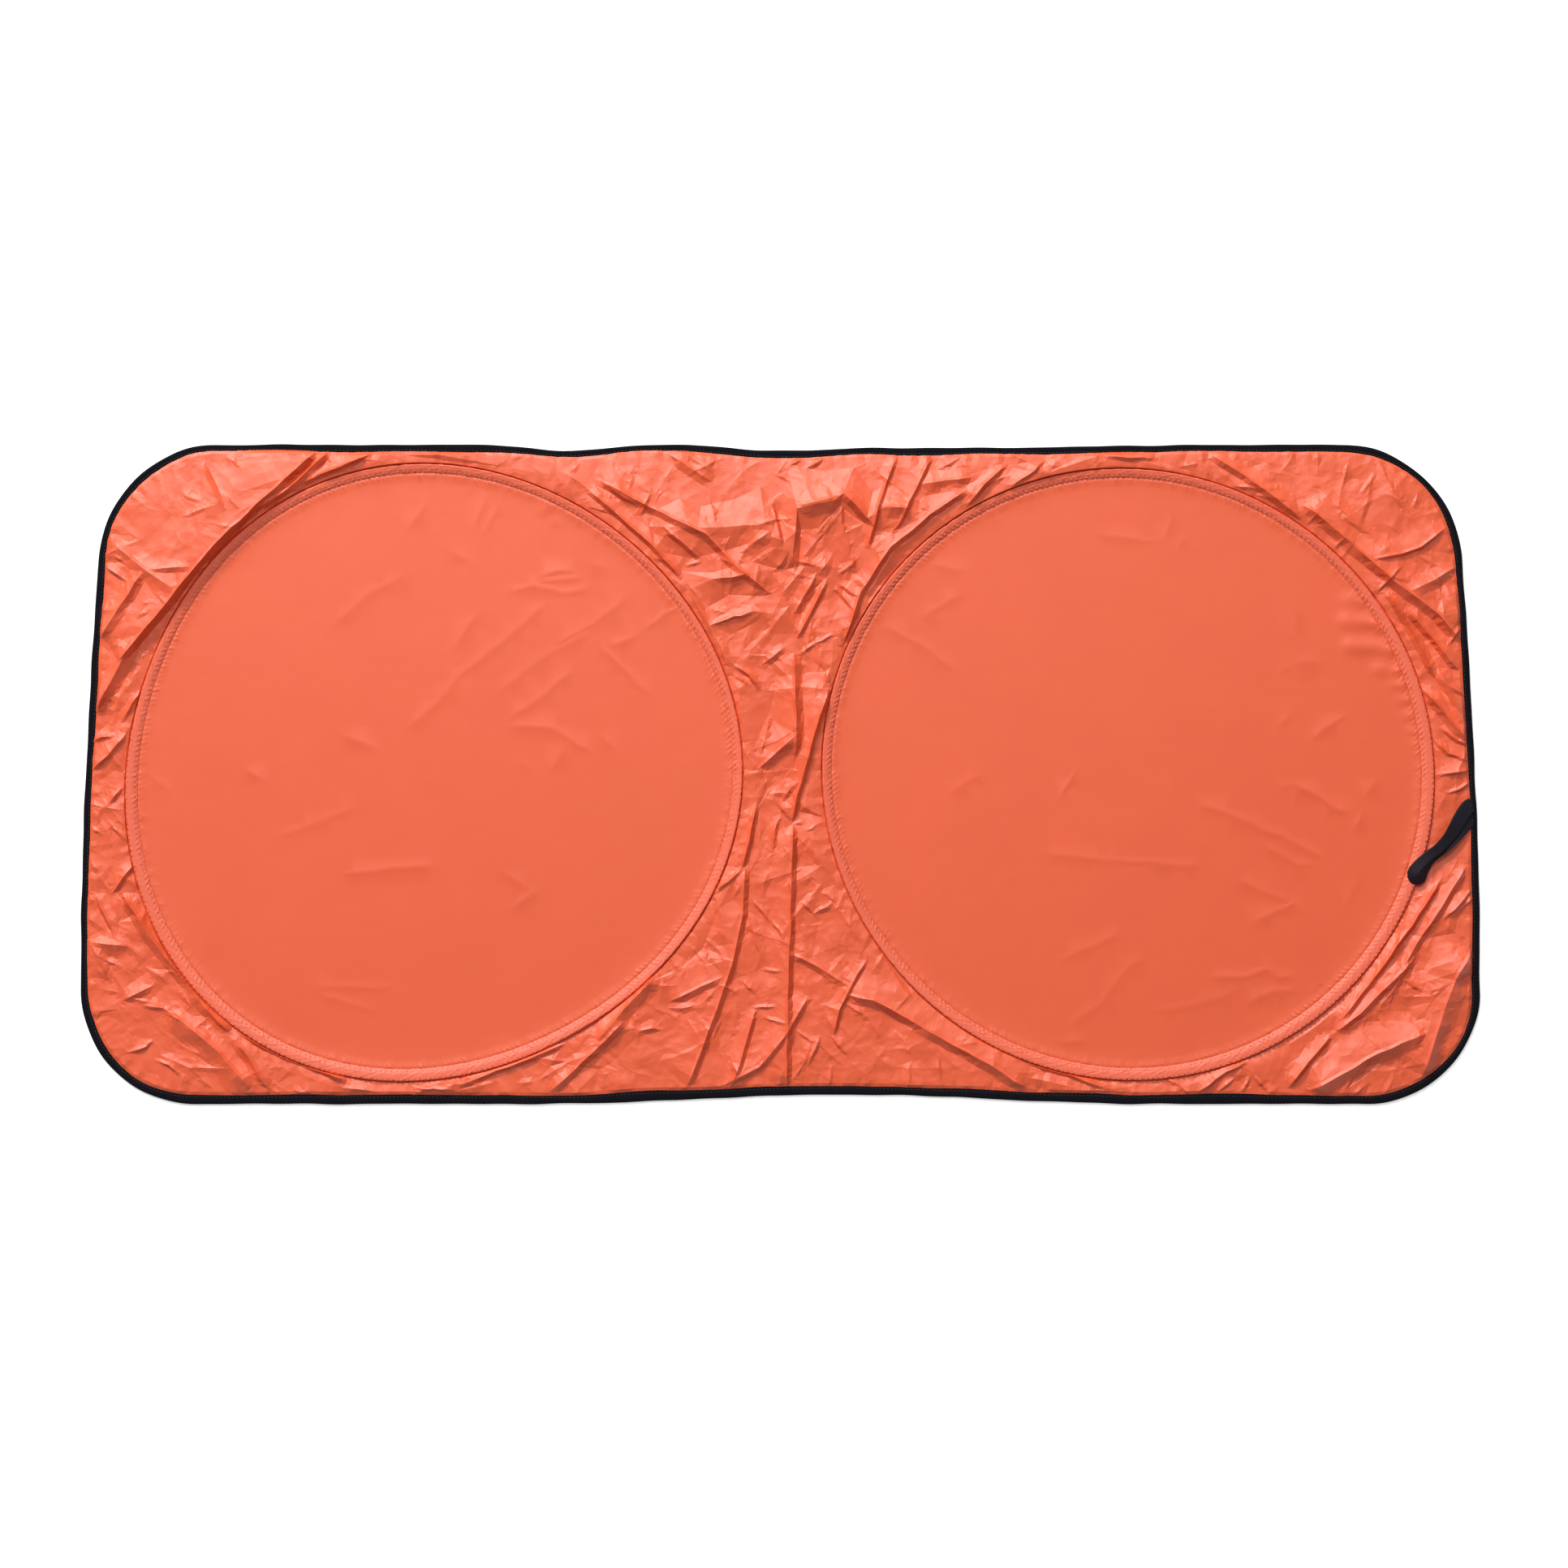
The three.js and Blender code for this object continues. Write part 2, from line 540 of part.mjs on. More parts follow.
function sheetMesh(name) {
  const { points, rimCount } = sheetPoints();
  const upper = delaunay(points).filter((corners) => {
    const x = corners.reduce((sum, corner) => sum + points[corner][0], 0) / 3;
    const y = corners.reduce((sum, corner) => sum + points[corner][1], 0) / 3;
    return roomInsideEdge(x, y) > rimInset;
  });
  const corners = [
    ...points.map(([x, y, low]) => [x, y, low + sheetThickness]),
    ...points,
  ];
  const under = points.length;
  const triangles = [...upper, ...upper.map(([a, b, c]) => [under + a, under + c, under + b])];
  for (let index = 0; index < rimCount; index += 1) {
    const next = (index + 1) % rimCount;
    triangles.push([index, under + index, under + next], [index, under + next, next]);
  }
  return meshFrom(name, corners, triangles, orangeCloth);
}

// The elastic loop: both ends are sewn on the binding, and it lies folded flat over the right casing.
// Each station is a place from the right end of the shade, a height above the binding or the casing,
// and the direction that the strap points in, away from the binding.
function strapStations() {
  const half = strapThickness / 2;
  const sewn = bindingHeight + half;
  const low = casingTop + clearance + half;
  const high = low + 2 * strapThickness;
  const turn = (low + high) / 2;
  return [
    [-5.5, -50, sewn, 206], [-9, -51.6, sewn, 208], [-18, -57, (sewn + low) / 2, 212], [-32, -69, low, 220],
    [-46, -81, low, 222], [-60, -94, low, 224], [-71, -105.5, low, 227], [-73.6, -108.3, low + half / 2, 227],
    [-74.4, -109.2, turn, 227],
    [-73.6, -108.3, high - half / 2, 227], [-71, -105.5, high, 227], [-61, -93, high, 226],
    [-47, -78, high, 225], [-34, -63, high, 229], [-22, -47, (sewn + high) / 2, 232],
    [-10.5, -33.6, sewn, 226], [-6, -29.3, sewn, 224],
  ].map(([fromEnd, y, z, pointing]) => {
    const angle = THREE.MathUtils.degToRad(pointing);
    const side = new THREE.Vector3(-Math.sin(angle), Math.cos(angle), 0);
    return { place: new THREE.Vector3(halfWidth + fromEnd, y, z), side };
  });
}
function strapMesh(name) {
  const stations = strapStations();
  const corners = [];
  const triangles = [];
  stations.forEach(({ place, side }, index) => {
    const before = stations[Math.max(0, index - 1)].place;
    const after = stations[Math.min(stations.length - 1, index + 1)].place;
    const ahead = after.clone().sub(before).normalize();
    const atEnd = index < 2 || index > stations.length - 3;
    const up = new THREE.Vector3().crossVectors(side, ahead).normalize();
    if (atEnd) {
      up.set(0, 0, Math.sign(up.z));
    }
    [[1, 1], [-1, 1], [-1, -1], [1, -1]].forEach(([across, over]) => {
      const corner = place.clone();
      corner.addScaledVector(side, across * strapWidth / 2);
      corner.addScaledVector(up, over * strapThickness / 2);
      corners.push(corner.toArray());
    });
    if (index > 0) {
      const here = (index - 1) * 4;
      for (let edgeIndex = 0; edgeIndex < 4; edgeIndex += 1) {
        const next = (edgeIndex + 1) % 4;
        triangles.push([here + edgeIndex, here + 4 + next, here + next]);
        triangles.push([here + edgeIndex, here + 4 + edgeIndex, here + 4 + next]);
      }
    }
  });
  const end = (stations.length - 1) * 4;
  triangles.push([0, 1, 2], [0, 2, 3], [end, end + 2, end + 1], [end, end + 3, end + 2]);
  return meshFrom(name, corners, triangles, blackElastic);
}

const sunshade = new THREE.Group();
sunshade.add(sheetMesh('shade_panel'));
sunshade.add(bandMesh('edge_binding', bindingSection(), edge, blackTape));
Object.entries(hoopStations).forEach(([side, stations]) => {
  sunshade.add(bandMesh(`${side}_hoop`, wireSection(), stations, springSteel));
  sunshade.add(sleeveMesh(`${side}_hoop_sleeve`, stations));
  sunshade.add(bandMesh(`${side}_hoop_casing`, casingSection(), stations, casingTapeCloth));
});
sunshade.add(strapMesh('storage_strap'));

export default sunshade;
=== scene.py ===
# %% [markdown]
# A folding windscreen sunshade lies open on a pale floor: a sheet of thin coated cloth, kept flat
# by two sprung hoops, with loose crumpled margins, a black bound edge and an elastic loop.
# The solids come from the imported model. This script gives every piece that shows its real surface.

# %% Load the fixed frame
import math

import bpy
import numpy as np
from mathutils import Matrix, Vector
from mathutils.bvhtree import BVHTree
from mathutils.geometry import delaunay_2d_cdt
from mathutils.kdtree import KDTree


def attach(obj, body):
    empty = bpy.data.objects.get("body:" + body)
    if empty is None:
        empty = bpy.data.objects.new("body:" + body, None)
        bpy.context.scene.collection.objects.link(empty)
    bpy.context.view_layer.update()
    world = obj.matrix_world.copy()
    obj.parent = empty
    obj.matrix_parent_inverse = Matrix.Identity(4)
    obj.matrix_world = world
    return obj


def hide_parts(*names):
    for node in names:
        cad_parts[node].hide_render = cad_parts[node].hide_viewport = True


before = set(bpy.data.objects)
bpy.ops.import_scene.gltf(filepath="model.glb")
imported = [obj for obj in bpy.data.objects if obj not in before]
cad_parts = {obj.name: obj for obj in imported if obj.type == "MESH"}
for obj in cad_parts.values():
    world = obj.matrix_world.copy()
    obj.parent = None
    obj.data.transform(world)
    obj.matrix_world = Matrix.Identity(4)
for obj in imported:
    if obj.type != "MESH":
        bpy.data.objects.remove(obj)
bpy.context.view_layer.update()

for loaded in bpy.context.selected_objects:
    loaded.select_set(False)
print("solids:", sorted(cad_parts))

# %% [markdown]
# All shapes below are worked out in millimetres and turned to metres when a mesh is made. The sizes
# repeat the ones that the solids were built from, because this script reads nothing but the frame.

# %% Sizes of the real shade
MM = 0.001
HOOP_RADIUS = 324.5
WAIST_GAP = 98
SIDE_MARGIN = 52
EDGE_MARGIN = 29
HOOP_OFFSET = -2.2
HOOP_LIFT = 1.5
CORNER_RADIUS = 122
SIDE_LEAN = 17
CLOTH = 0.4
CASING_WIDTH = 13
STITCH_PITCH = 5.6
BINDING_PITCH = 4.2
RIM_Z = 0.9

half_width = (4 * HOOP_RADIUS + WAIST_GAP + 2 * SIDE_MARGIN) / 2
half_height = HOOP_RADIUS + EDGE_MARGIN
hoop_spread = HOOP_RADIUS + WAIST_GAP / 2
casing_half = CASING_WIDTH / 2
hoop_around = 2 * math.pi * HOOP_RADIUS
chance = np.random.default_rng(7)
print("shade:", 2 * half_width, "by", 2 * half_height, "mm")

# %% [markdown]
# The outline is a rounded rectangle whose short sides lean in and whose long sides wave a little,
# because nothing but the two hoops keeps the cloth out. It is a formula, so the binding and the
# sheet agree.

# %% Outline
LEAN_FROM = 0.48
LEAN_OVER = 1.06
TOP_PULLS = ((6.5, -0.313, 0.127), (5, 0, 0.15), (3.5, 0.24, 0.45))  # depth, middle, reach
BOTTOM_PULL = (10, 0.093, 0.44)


def bump(value, middle, reach):
    away = np.minimum(np.abs(value - middle) / reach, 1)
    return np.cos(away * math.pi / 2) ** 2


def rounded_rectangle(corner_steps=40, side_step=4.0):
    flat_x = half_width - CORNER_RADIUS
    flat_y = half_height - CORNER_RADIUS
    corners = [(flat_x, -flat_y, -90), (flat_x, flat_y, 0)]
    corners += [(-flat_x, flat_y, 90), (-flat_x, -flat_y, 180)]
    line = []
    for index, (cx, cy, start) in enumerate(corners):
        turns = np.radians(start + np.linspace(0, 90, corner_steps, endpoint=False))
        round_x = cx + CORNER_RADIUS * np.cos(turns)
        round_y = cy + CORNER_RADIUS * np.sin(turns)
        line.append(np.column_stack([round_x, round_y]))
        nx, ny, _ = corners[(index + 1) % 4]
        leave = math.radians(start + 90)
        reach = CORNER_RADIUS * np.array([math.cos(leave), math.sin(leave)])
        from_point = np.array([cx, cy]) + reach
        to_point = np.array([nx, ny]) + reach
        steps = int(np.linalg.norm(to_point - from_point) / side_step)
        shares = np.linspace(0, 1, steps, endpoint=False)[:, None]
        line.append(from_point + (to_point - from_point) * shares)
    return np.vstack(line)


def bend_edge(line):
    x, y = line.T
    rise = np.maximum(0, y / half_height + LEAN_FROM) / LEAN_OVER
    lean = SIDE_LEAN * rise ** 1.5 * x / half_width
    share_x = x / half_width
    top = sum(depth * bump(share_x, middle, reach) for depth, middle, reach in TOP_PULLS)
    depth, middle, reach = BOTTOM_PULL
    pull = np.where(y > 0, top, depth * bump(share_x, middle, reach))
    near = np.clip((np.abs(y) / half_height - 0.6) / 0.35, 0, 1)
    near = near * near * (3 - 2 * near)
    return np.column_stack([x - lean, y - np.sign(y) * pull * near])


rough_edge = bend_edge(rounded_rectangle())
print(len(rough_edge), "points on the rough outline")

# %% [markdown]
# Each hoop is a circle pulled out of round by a few millimetres, as a thin sprung wire in tight cloth
# always is. All closed lines are then cut into even steps, because stitches, ribs and gathers are
# counted along them.

# %% Even steps and hoops
EDGE_STEP = 3.0


def resample(line, step):
    closed = np.vstack([line, line[:1]])
    lengths = np.concatenate([[0], np.cumsum(np.linalg.norm(np.diff(closed, axis=0), axis=1))])
    count = int(round(lengths[-1] / step))
    places = np.linspace(0, lengths[-1], count, endpoint=False)
    even = np.column_stack([np.interp(places, lengths, closed[:, axis]) for axis in (0, 1)])
    return even, places, lengths[-1]


def outward(line):
    ahead = np.roll(line, -1, axis=0) - np.roll(line, 1, axis=0)
    ahead /= np.linalg.norm(ahead, axis=1)[:, None]
    return np.column_stack([ahead[:, 1], -ahead[:, 0]])


HOOPS = [
    {"side": "left", "x": -hoop_spread + HOOP_OFFSET, "grow": 1, "lobes": [(2, 0, 5.3), (3, 6, -2.6)]},
    {"side": "right", "x": hoop_spread + HOOP_OFFSET, "grow": -1.5, "lobes": [(2, 0, -2.9)]},
]


def hoop_reach(hoop, angle):
    reach = HOOP_RADIUS + hoop["grow"]
    for times, cosine, sine in hoop["lobes"]:
        reach = reach + cosine * np.cos(times * angle) + sine * np.sin(times * angle)
    return reach


def hoop_line(hoop, steps):
    angle = np.linspace(0, 2 * math.pi, steps, endpoint=False)
    reach = hoop_reach(hoop, angle)
    return np.column_stack([hoop["x"] + reach * np.cos(angle), HOOP_LIFT + reach * np.sin(angle)])


edge_line, edge_places, edge_length = resample(rough_edge, EDGE_STEP)
edge_out = outward(edge_line)
print("bound edge:", round(edge_length), "mm, hoops:", [round(hoop["x"], 1) for hoop in HOOPS])

# %% [markdown]
# Sewn cloth never runs quite even. Waves with seeded random phases give the small irregular swells
# of the tape, the gathers beside it and the puckers between stitches. They close on themselves,
# which a noise along a closed seam wouldn't do.

# %% Uneven waves along a closed line
def uneven(places, whole, wavelengths, seed):
    phases = np.random.default_rng(seed)
    wave = np.zeros_like(places, dtype=float)
    for wavelength in wavelengths:
        for times in (1.0, 1.31, 0.77):
            cycles = max(1, round(whole / wavelength * times))
            wave += np.sin(2 * math.pi * cycles * places / whole + phases.uniform(0, 2 * math.pi))
    return wave / math.sqrt(3 * len(wavelengths))


print("swell of the tape:", uneven(edge_places[:3], edge_length, (420, 160), 21).round(2))

# %% [markdown]
# Most pieces here are cloth with thousands of small creases, which no operator makes, so each is
# written as a mesh: a list of points in millimetres and a list of faces. The UV map holds places
# along and across the threads in metres, so that a weave follows the cloth and not the room.

# %% Meshes from points and faces
def mesh_piece(name, vertices, faces):
    mesh = bpy.data.meshes.new(name)
    mesh.from_pydata([tuple(point) for point in np.asarray(vertices) * MM], [], faces)
    mesh.validate()
    mesh.update()
    mesh.polygons.foreach_set("use_smooth", [True] * len(mesh.polygons))
    piece = bpy.data.objects.new(name, mesh)
    bpy.context.scene.collection.objects.link(piece)
    print(name, len(mesh.polygons), "faces")
    return piece


def add_uv(piece, uv_of_vertex):
    layer = piece.data.uv_layers.new(name="UVMap")
    corner_vertex = np.zeros(len(piece.data.loops), dtype=int)
    piece.data.loops.foreach_get("vertex_index", corner_vertex)
    layer.data.foreach_set("uv", (uv_of_vertex[corner_vertex] * MM).ravel())


def band_faces(rows, columns):
    faces = []
    for row in range(rows):
        after = (row + 1) % rows
        for column in range(columns):
            beside = (column + 1) % columns
            faces.append((row * columns + column, row * columns + beside,
                          after * columns + beside, after * columns + column))
    return faces


print("a ring of 3 sections with 4 points has", len(band_faces(3, 4)), "faces")

# %% [markdown]
# The folds are the look of this object. They were read from how light falls on the cloth:
# each row is a crest line with its height, the width of its broad lit side (on the left of the way
# the line runs) and of its steep shaded side (on the right). The solids have these main folds too.
# A simulation would give folds, but not the ones that this shade has.

# %% The main folds: height, broad side, steep side, then the crest's points
MAIN_FOLDS = [
    # top left corner
    (12, 58, 9, (-707, 122), (-668, 168), (-646, 196), (-604, 246), (-550, 297), (-497, 345)),
    (6, 9, 9, (-560, 284), (-530, 303), (-505, 325), (-484, 345)),
    (4, 9, 7, (-512, 312), (-472, 328), (-440, 342)),
    (5, 16, 26, (-714, 246), (-690, 227), (-668, 211), (-648, 197)),
    (4, 10, 9, (-672, 219), (-650, 221), (-630, 222)),
    (7, 12, 13, (-728, 146), (-712, 170), (-697, 192), (-682, 216)),
    (3, 16, 5, (-593, 281), (-606, 308), (-619, 334)),
    (4, 14, 5, (-722, 222), (-700, 207)),
    # left side
    (8, 14, 18, (-737, 62), (-722, 88), (-706, 118), (-690, 146)),
    (4, 14, 6, (-738, 4), (-720, 20), (-701, 42)),
    (4, 8, 6, (-721, -33), (-706, -15)),
    (4, 10, 6, (-716, -128), (-702, -108), (-692, -96)),
    # lower left corner
    (6, 9, 14, (-704, -128), (-672, -178), (-645, -212), (-618, -248), (-590, -276)),
    (7, 12, 30, (-655, -255), (-628, -274), (-600, -298), (-568, -337)),
    (5, 12, 14, (-584, -283), (-568, -304), (-549, -337)),
    (6, 10, 8, (-575, -281), (-540, -297), (-500, -314), (-465, -328)),
    (5, 14, 24, (-738, -180), (-718, -182), (-698, -184)),
    (4, 14, 12, (-719, -220), (-727, -202), (-737, -184)),
    (4, 12, 10, (-704, -242), (-672, -226)),
    # bottom, left of the middle
    (5, 10, 7, (-345, -333), (-315, -322), (-270, -305), (-232, -289)),
    (5, 12, 10, (-247, -340), (-222, -318), (-195, -292), (-168, -266)),
    (7, 16, 22, (-196, -285), (-168, -252), (-132, -214)),
    (5, 34, 9, (-100, -334), (-86, -300), (-72, -262), (-52, -205), (-40, -150), (-38, -100)),
    (4, 25, 11, (-118, -243), (-62, -217)),
    (4, 18, 8, (-55, -330), (-22, -313), (8, -276), (30, -238)),
    (4, 15, 7, (-53, -334), (-40, -298), (-27, -252)),
    # the waist
    (6, 24, 9, (7, -335), (8, -260), (9, -200), (11, -150), (12, -100), (13, -55)),
    (7, 22, 13, (16, 20), (17, 50), (16, 90), (14, 130)),
    (6, 12, 7, (13, -50), (18, -22), (26, 5), (38, 48), (52, 90)),
    (6, 22, 14, (-22, 7), (0, 27), (17, 42)),
    (5, 10, 7, (-41, -100), (-33, -70), (-26, -32)),
    # top, left of the middle
    (5, 28, 10, (-193, 314), (-150, 291), (-115, 273), (-80, 257), (-48, 223), (-12, 194)),
    (5, 12, 7, (-205, 304), (-172, 276), (-140, 248), (-108, 212)),
    (4, 14, 7, (-124, 264), (-105, 248), (-86, 231)),
    (4, 26, 14, (-118, 342), (-95, 327), (-73, 313)),
    (5, 14, 22, (-42, 237), (-28, 248), (-12, 258)),
    (3, 20, 6, (2, 243), (-4, 268), (-10, 292)),
    # top, right of the middle
    (5, 16, 24, (20, 287), (40, 291), (64, 298)),
    (5, 10, 10, (66, 301), (80, 288), (93, 272)),
    (6, 18, 8, (68, 142), (86, 195), (118, 243), (160, 278), (200, 304)),
    (5, 12, 20, (108, 287), (140, 284)),
    (4, 12, 6, (124, 262), (145, 305), (160, 338)),
    (4, 10, 6, (93, 241), (104, 285), (123, 338)),
    (5, 12, 13, (15, 172), (26, 192), (38, 213)),
    (4, 8, 6, (18, 146), (40, 188), (50, 208)),
    (5, 15, 20, (150, 311), (205, 318)),
    (5, 10, 7, (200, 288), (218, 310), (240, 330)),
    # bottom, right of the middle
    (7, 30, 14, (72, -236), (100, -242), (130, -258), (185, -290), (225, -311), (262, -335)),
    (4, 12, 6, (57, -280), (63, -252), (75, -228), (92, -200)),
    (4, 20, 10, (10, -192), (40, -206), (72, -226)),
    (4, 9, 6, (240, -296), (280, -313), (320, -326), (348, -336)),
    # lower right corner
    (9, 32, 20, (568, -338), (600, -321), (640, -298), (690, -277)),
    (10, 34, 28, (688, -322), (698, -290), (712, -245), (724, -215), (740, -190)),
    (6, 14, 10, (596, -276), (622, -255), (650, -226), (676, -202)),
    (6, 12, 8, (545, -335), (565, -308), (590, -280)),
    (6, 9, 8, (602, -262), (622, -235), (645, -205), (668, -172), (690, -140), (706, -115)),
    (5, 11, 10, (668, -205), (682, -180), (702, -150), (722, -118), (734, -100)),
    # right side
    (6, 14, 11, (690, 90), (712, 64), (740, 32)),
    (5, 12, 11, (704, 112), (722, 76), (740, 40)),
    (4, 14, 5, (706, 0), (722, 2), (738, 4)),
    # top right corner
    (5, 14, 9, (462, 342), (490, 324), (520, 303), (555, 276)),
    (8, 30, 13, (560, 288), (610, 248), (655, 207), (703, 172), (724, 148)),
    (4, 20, 5, (635, 230), (665, 236), (685, 243), (711, 263)),
    (5, 14, 16, (674, 196), (700, 208), (725, 223)),
    (5, 12, 8, (668, 178), (690, 155), (710, 131), (726, 112)),
    (4, 9, 6, (648, 195), (668, 165), (684, 135), (700, 104)),
]
print(len(MAIN_FOLDS), "main folds")

# %% [markdown]
# Packing presses shorter creases into the margins, between and across the main folds. They were read
# in the same way, and their rows say the same.

# %% Finer creases
FINE_FOLDS = [
    (2.5, 8, 8, (-66, 232), (-50, 224)), (3, 9, 9, (-70, 209), (-45, 212), (-33, 211)),
    (2.5, 6, 5, (-73, 160), (-50, 169), (-28, 174)), (2, 6, 4, (-102, 224), (-84, 228)),
    (3, 10, 4, (-150, 277), (-140, 300)), (3, 7, 5, (10, 331), (22, 337)),
    (4, 8, 6, (28, 328), (46, 338)), (2, 5, 4, (-3, 322), (8, 315)), (3, 6, 5, (22, 129), (38, 141)),
    (2.5, 6, 5, (38, 141), (58, 150)), (3, 8, 9, (-20, 117), (5, 136)),
    (3, 6, 4, (-50, 117), (-34, 107), (-22, 91)), (2.5, 5, 4, (-48, 106), (-34, 96)),
    (4, 10, 8, (2, -28), (12, -13), (21, -7)), (3, 10, 4, (-6, -26), (3, -38), (11, -48)),
    (3, 5, 6, (15, -53), (24, -51)), (2, 6, 4, (27, -60), (40, -53)),
    (3, 8, 6, (-9, -85), (-6, -60), (0, -45)), (3, 5, 7, (22, -136), (36, -149)),
    (3, 4, 8, (36, -150), (56, -137)), (2.5, 10, 5, (45, -124), (60, -139)),
    (3, 5, 4, (-72, -128), (-40, -100)), (2, 8, 4, (-30, -135), (-10, -158)),
    (2.5, 6, 4, (-8, -158), (4, -176)), (2.5, 7, 4, (-40, -222), (-26, -234)),
    (2, 6, 4, (-18, -209), (2, -211)), (2.5, 6, 5, (-28, -250), (-5, -249)),
    (2, 6, 5, (-18, -261), (8, -267)), (2, 6, 4, (18, -275), (36, -288)),
    (2.5, 8, 6, (30, -312), (42, -281)), (2.5, 8, 5, (54, -280), (72, -302)),
    (3, 7, 6, (-152, -276), (-138, -272), (-128, -274)), (1.5, 8, 5, (52, -336), (55, -312)),
    (1.5, 8, 5, (137, -334), (139, -308)), (1.5, 9, 5, (172, -330), (168, -300)),
    (3, 6, 5, (-392, -336), (-350, -338)), (4, 8, 6, (448, -340), (478, -318), (500, -308)),
    (3, 6, 5, (470, -339), (486, -326)), (3, 5, 5, (508, -323), (521, -339)),
    (3, 5, 5, (495, -340), (503, -324)), (3, 6, 5, (668, -218), (680, -228), (688, -231)),
    (4, 10, 6, (710, -156), (741, -124)), (3, 6, 5, (604, -338), (613, -325)),
    (3, 5, 6, (-683, -248), (-660, -251)), (3, 8, 4, (-700, -298), (-680, -292), (-673, -284)),
    (3, 5, 5, (-668, -307), (-655, -311), (-643, -322)), (3, 5, 3, (-740, 33), (-727, 40), (-713, 43)),
    (2.5, 6, 5, (-718, -52), (-702, -70)), (3, 6, 5, (-738, -57), (-728, -64)),
    (3, 6, 6, (-738, -95), (-731, -104)), (3, 4, 4, (-733, 70), (-722, 84)),
    (3, 4, 4, (-729, 82), (-716, 98)), (3, 6, 5, (-705, 58), (-690, 82), (-680, 90)),
    (2, 6, 4, (-715, 234), (-700, 226)), (1.5, 8, 6, (-640, 276), (-620, 283), (-608, 287)),
    (1.5, 8, 6, (-640, 300), (-620, 292)), (1.5, 7, 4, (-590, 298), (-578, 283)),
    (2, 8, 5, (608, 335), (601, 306)), (2, 8, 5, (636, 322), (622, 300)),
    (2, 8, 5, (682, 300), (678, 285)), (2, 10, 3, (600, 277), (628, 257)),
    (3, 4, 5, (594, 243), (603, 253)), (3, 5, 5, (548, 280), (557, 274)),
    (3, 5, 5, (566, 270), (575, 280)), (4, 7, 6, (717, 140), (724, 152), (731, 160)),
    (3, 5, 6, (712, 97), (738, 82)), (3, 5, 5, (715, -20), (727, -16), (738, -9)),
    (3, 7, 5, (708, 50), (720, 40), (738, 28)), (2.5, 6, 4, (700, 38), (716, 22), (736, 15)),
    (3, 7, 5, (640, 197), (664, 222)), (3, 8, 5, (246, 307), (265, 320), (284, 336)),
    (3, 8, 6, (350, 340), (402, 338)), (3, 9, 6, (-186, 309), (-168, 296), (-152, 288)),
    (2.5, 7, 5, (-500, 318), (-470, 330), (-446, 341)),
    (3, 8, 5, (-735, -128), (-724, -150), (-712, -172)), (2.5, 9, 6, (-690, 168), (-672, 178)),
    (3, 8, 5, (62, 205), (75, 195), (84, 190)), (3, 7, 5, (58, 200), (70, 187), (78, 177)),
    (3, 9, 6, (63, 214), (80, 228)), (2.5, 7, 5, (76, 236), (80, 215)), (3, 8, 5, (18, 228), (38, 223)),
]
print(len(FINE_FOLDS), "fine creases")

# %% [markdown]
# Inside the hoops the cloth is taut: it only ripples where a seam holds it short, and keeps hair
# creases from being coiled. A few places of the margins lie smoother than the rest, and their small
# creases are toned down.

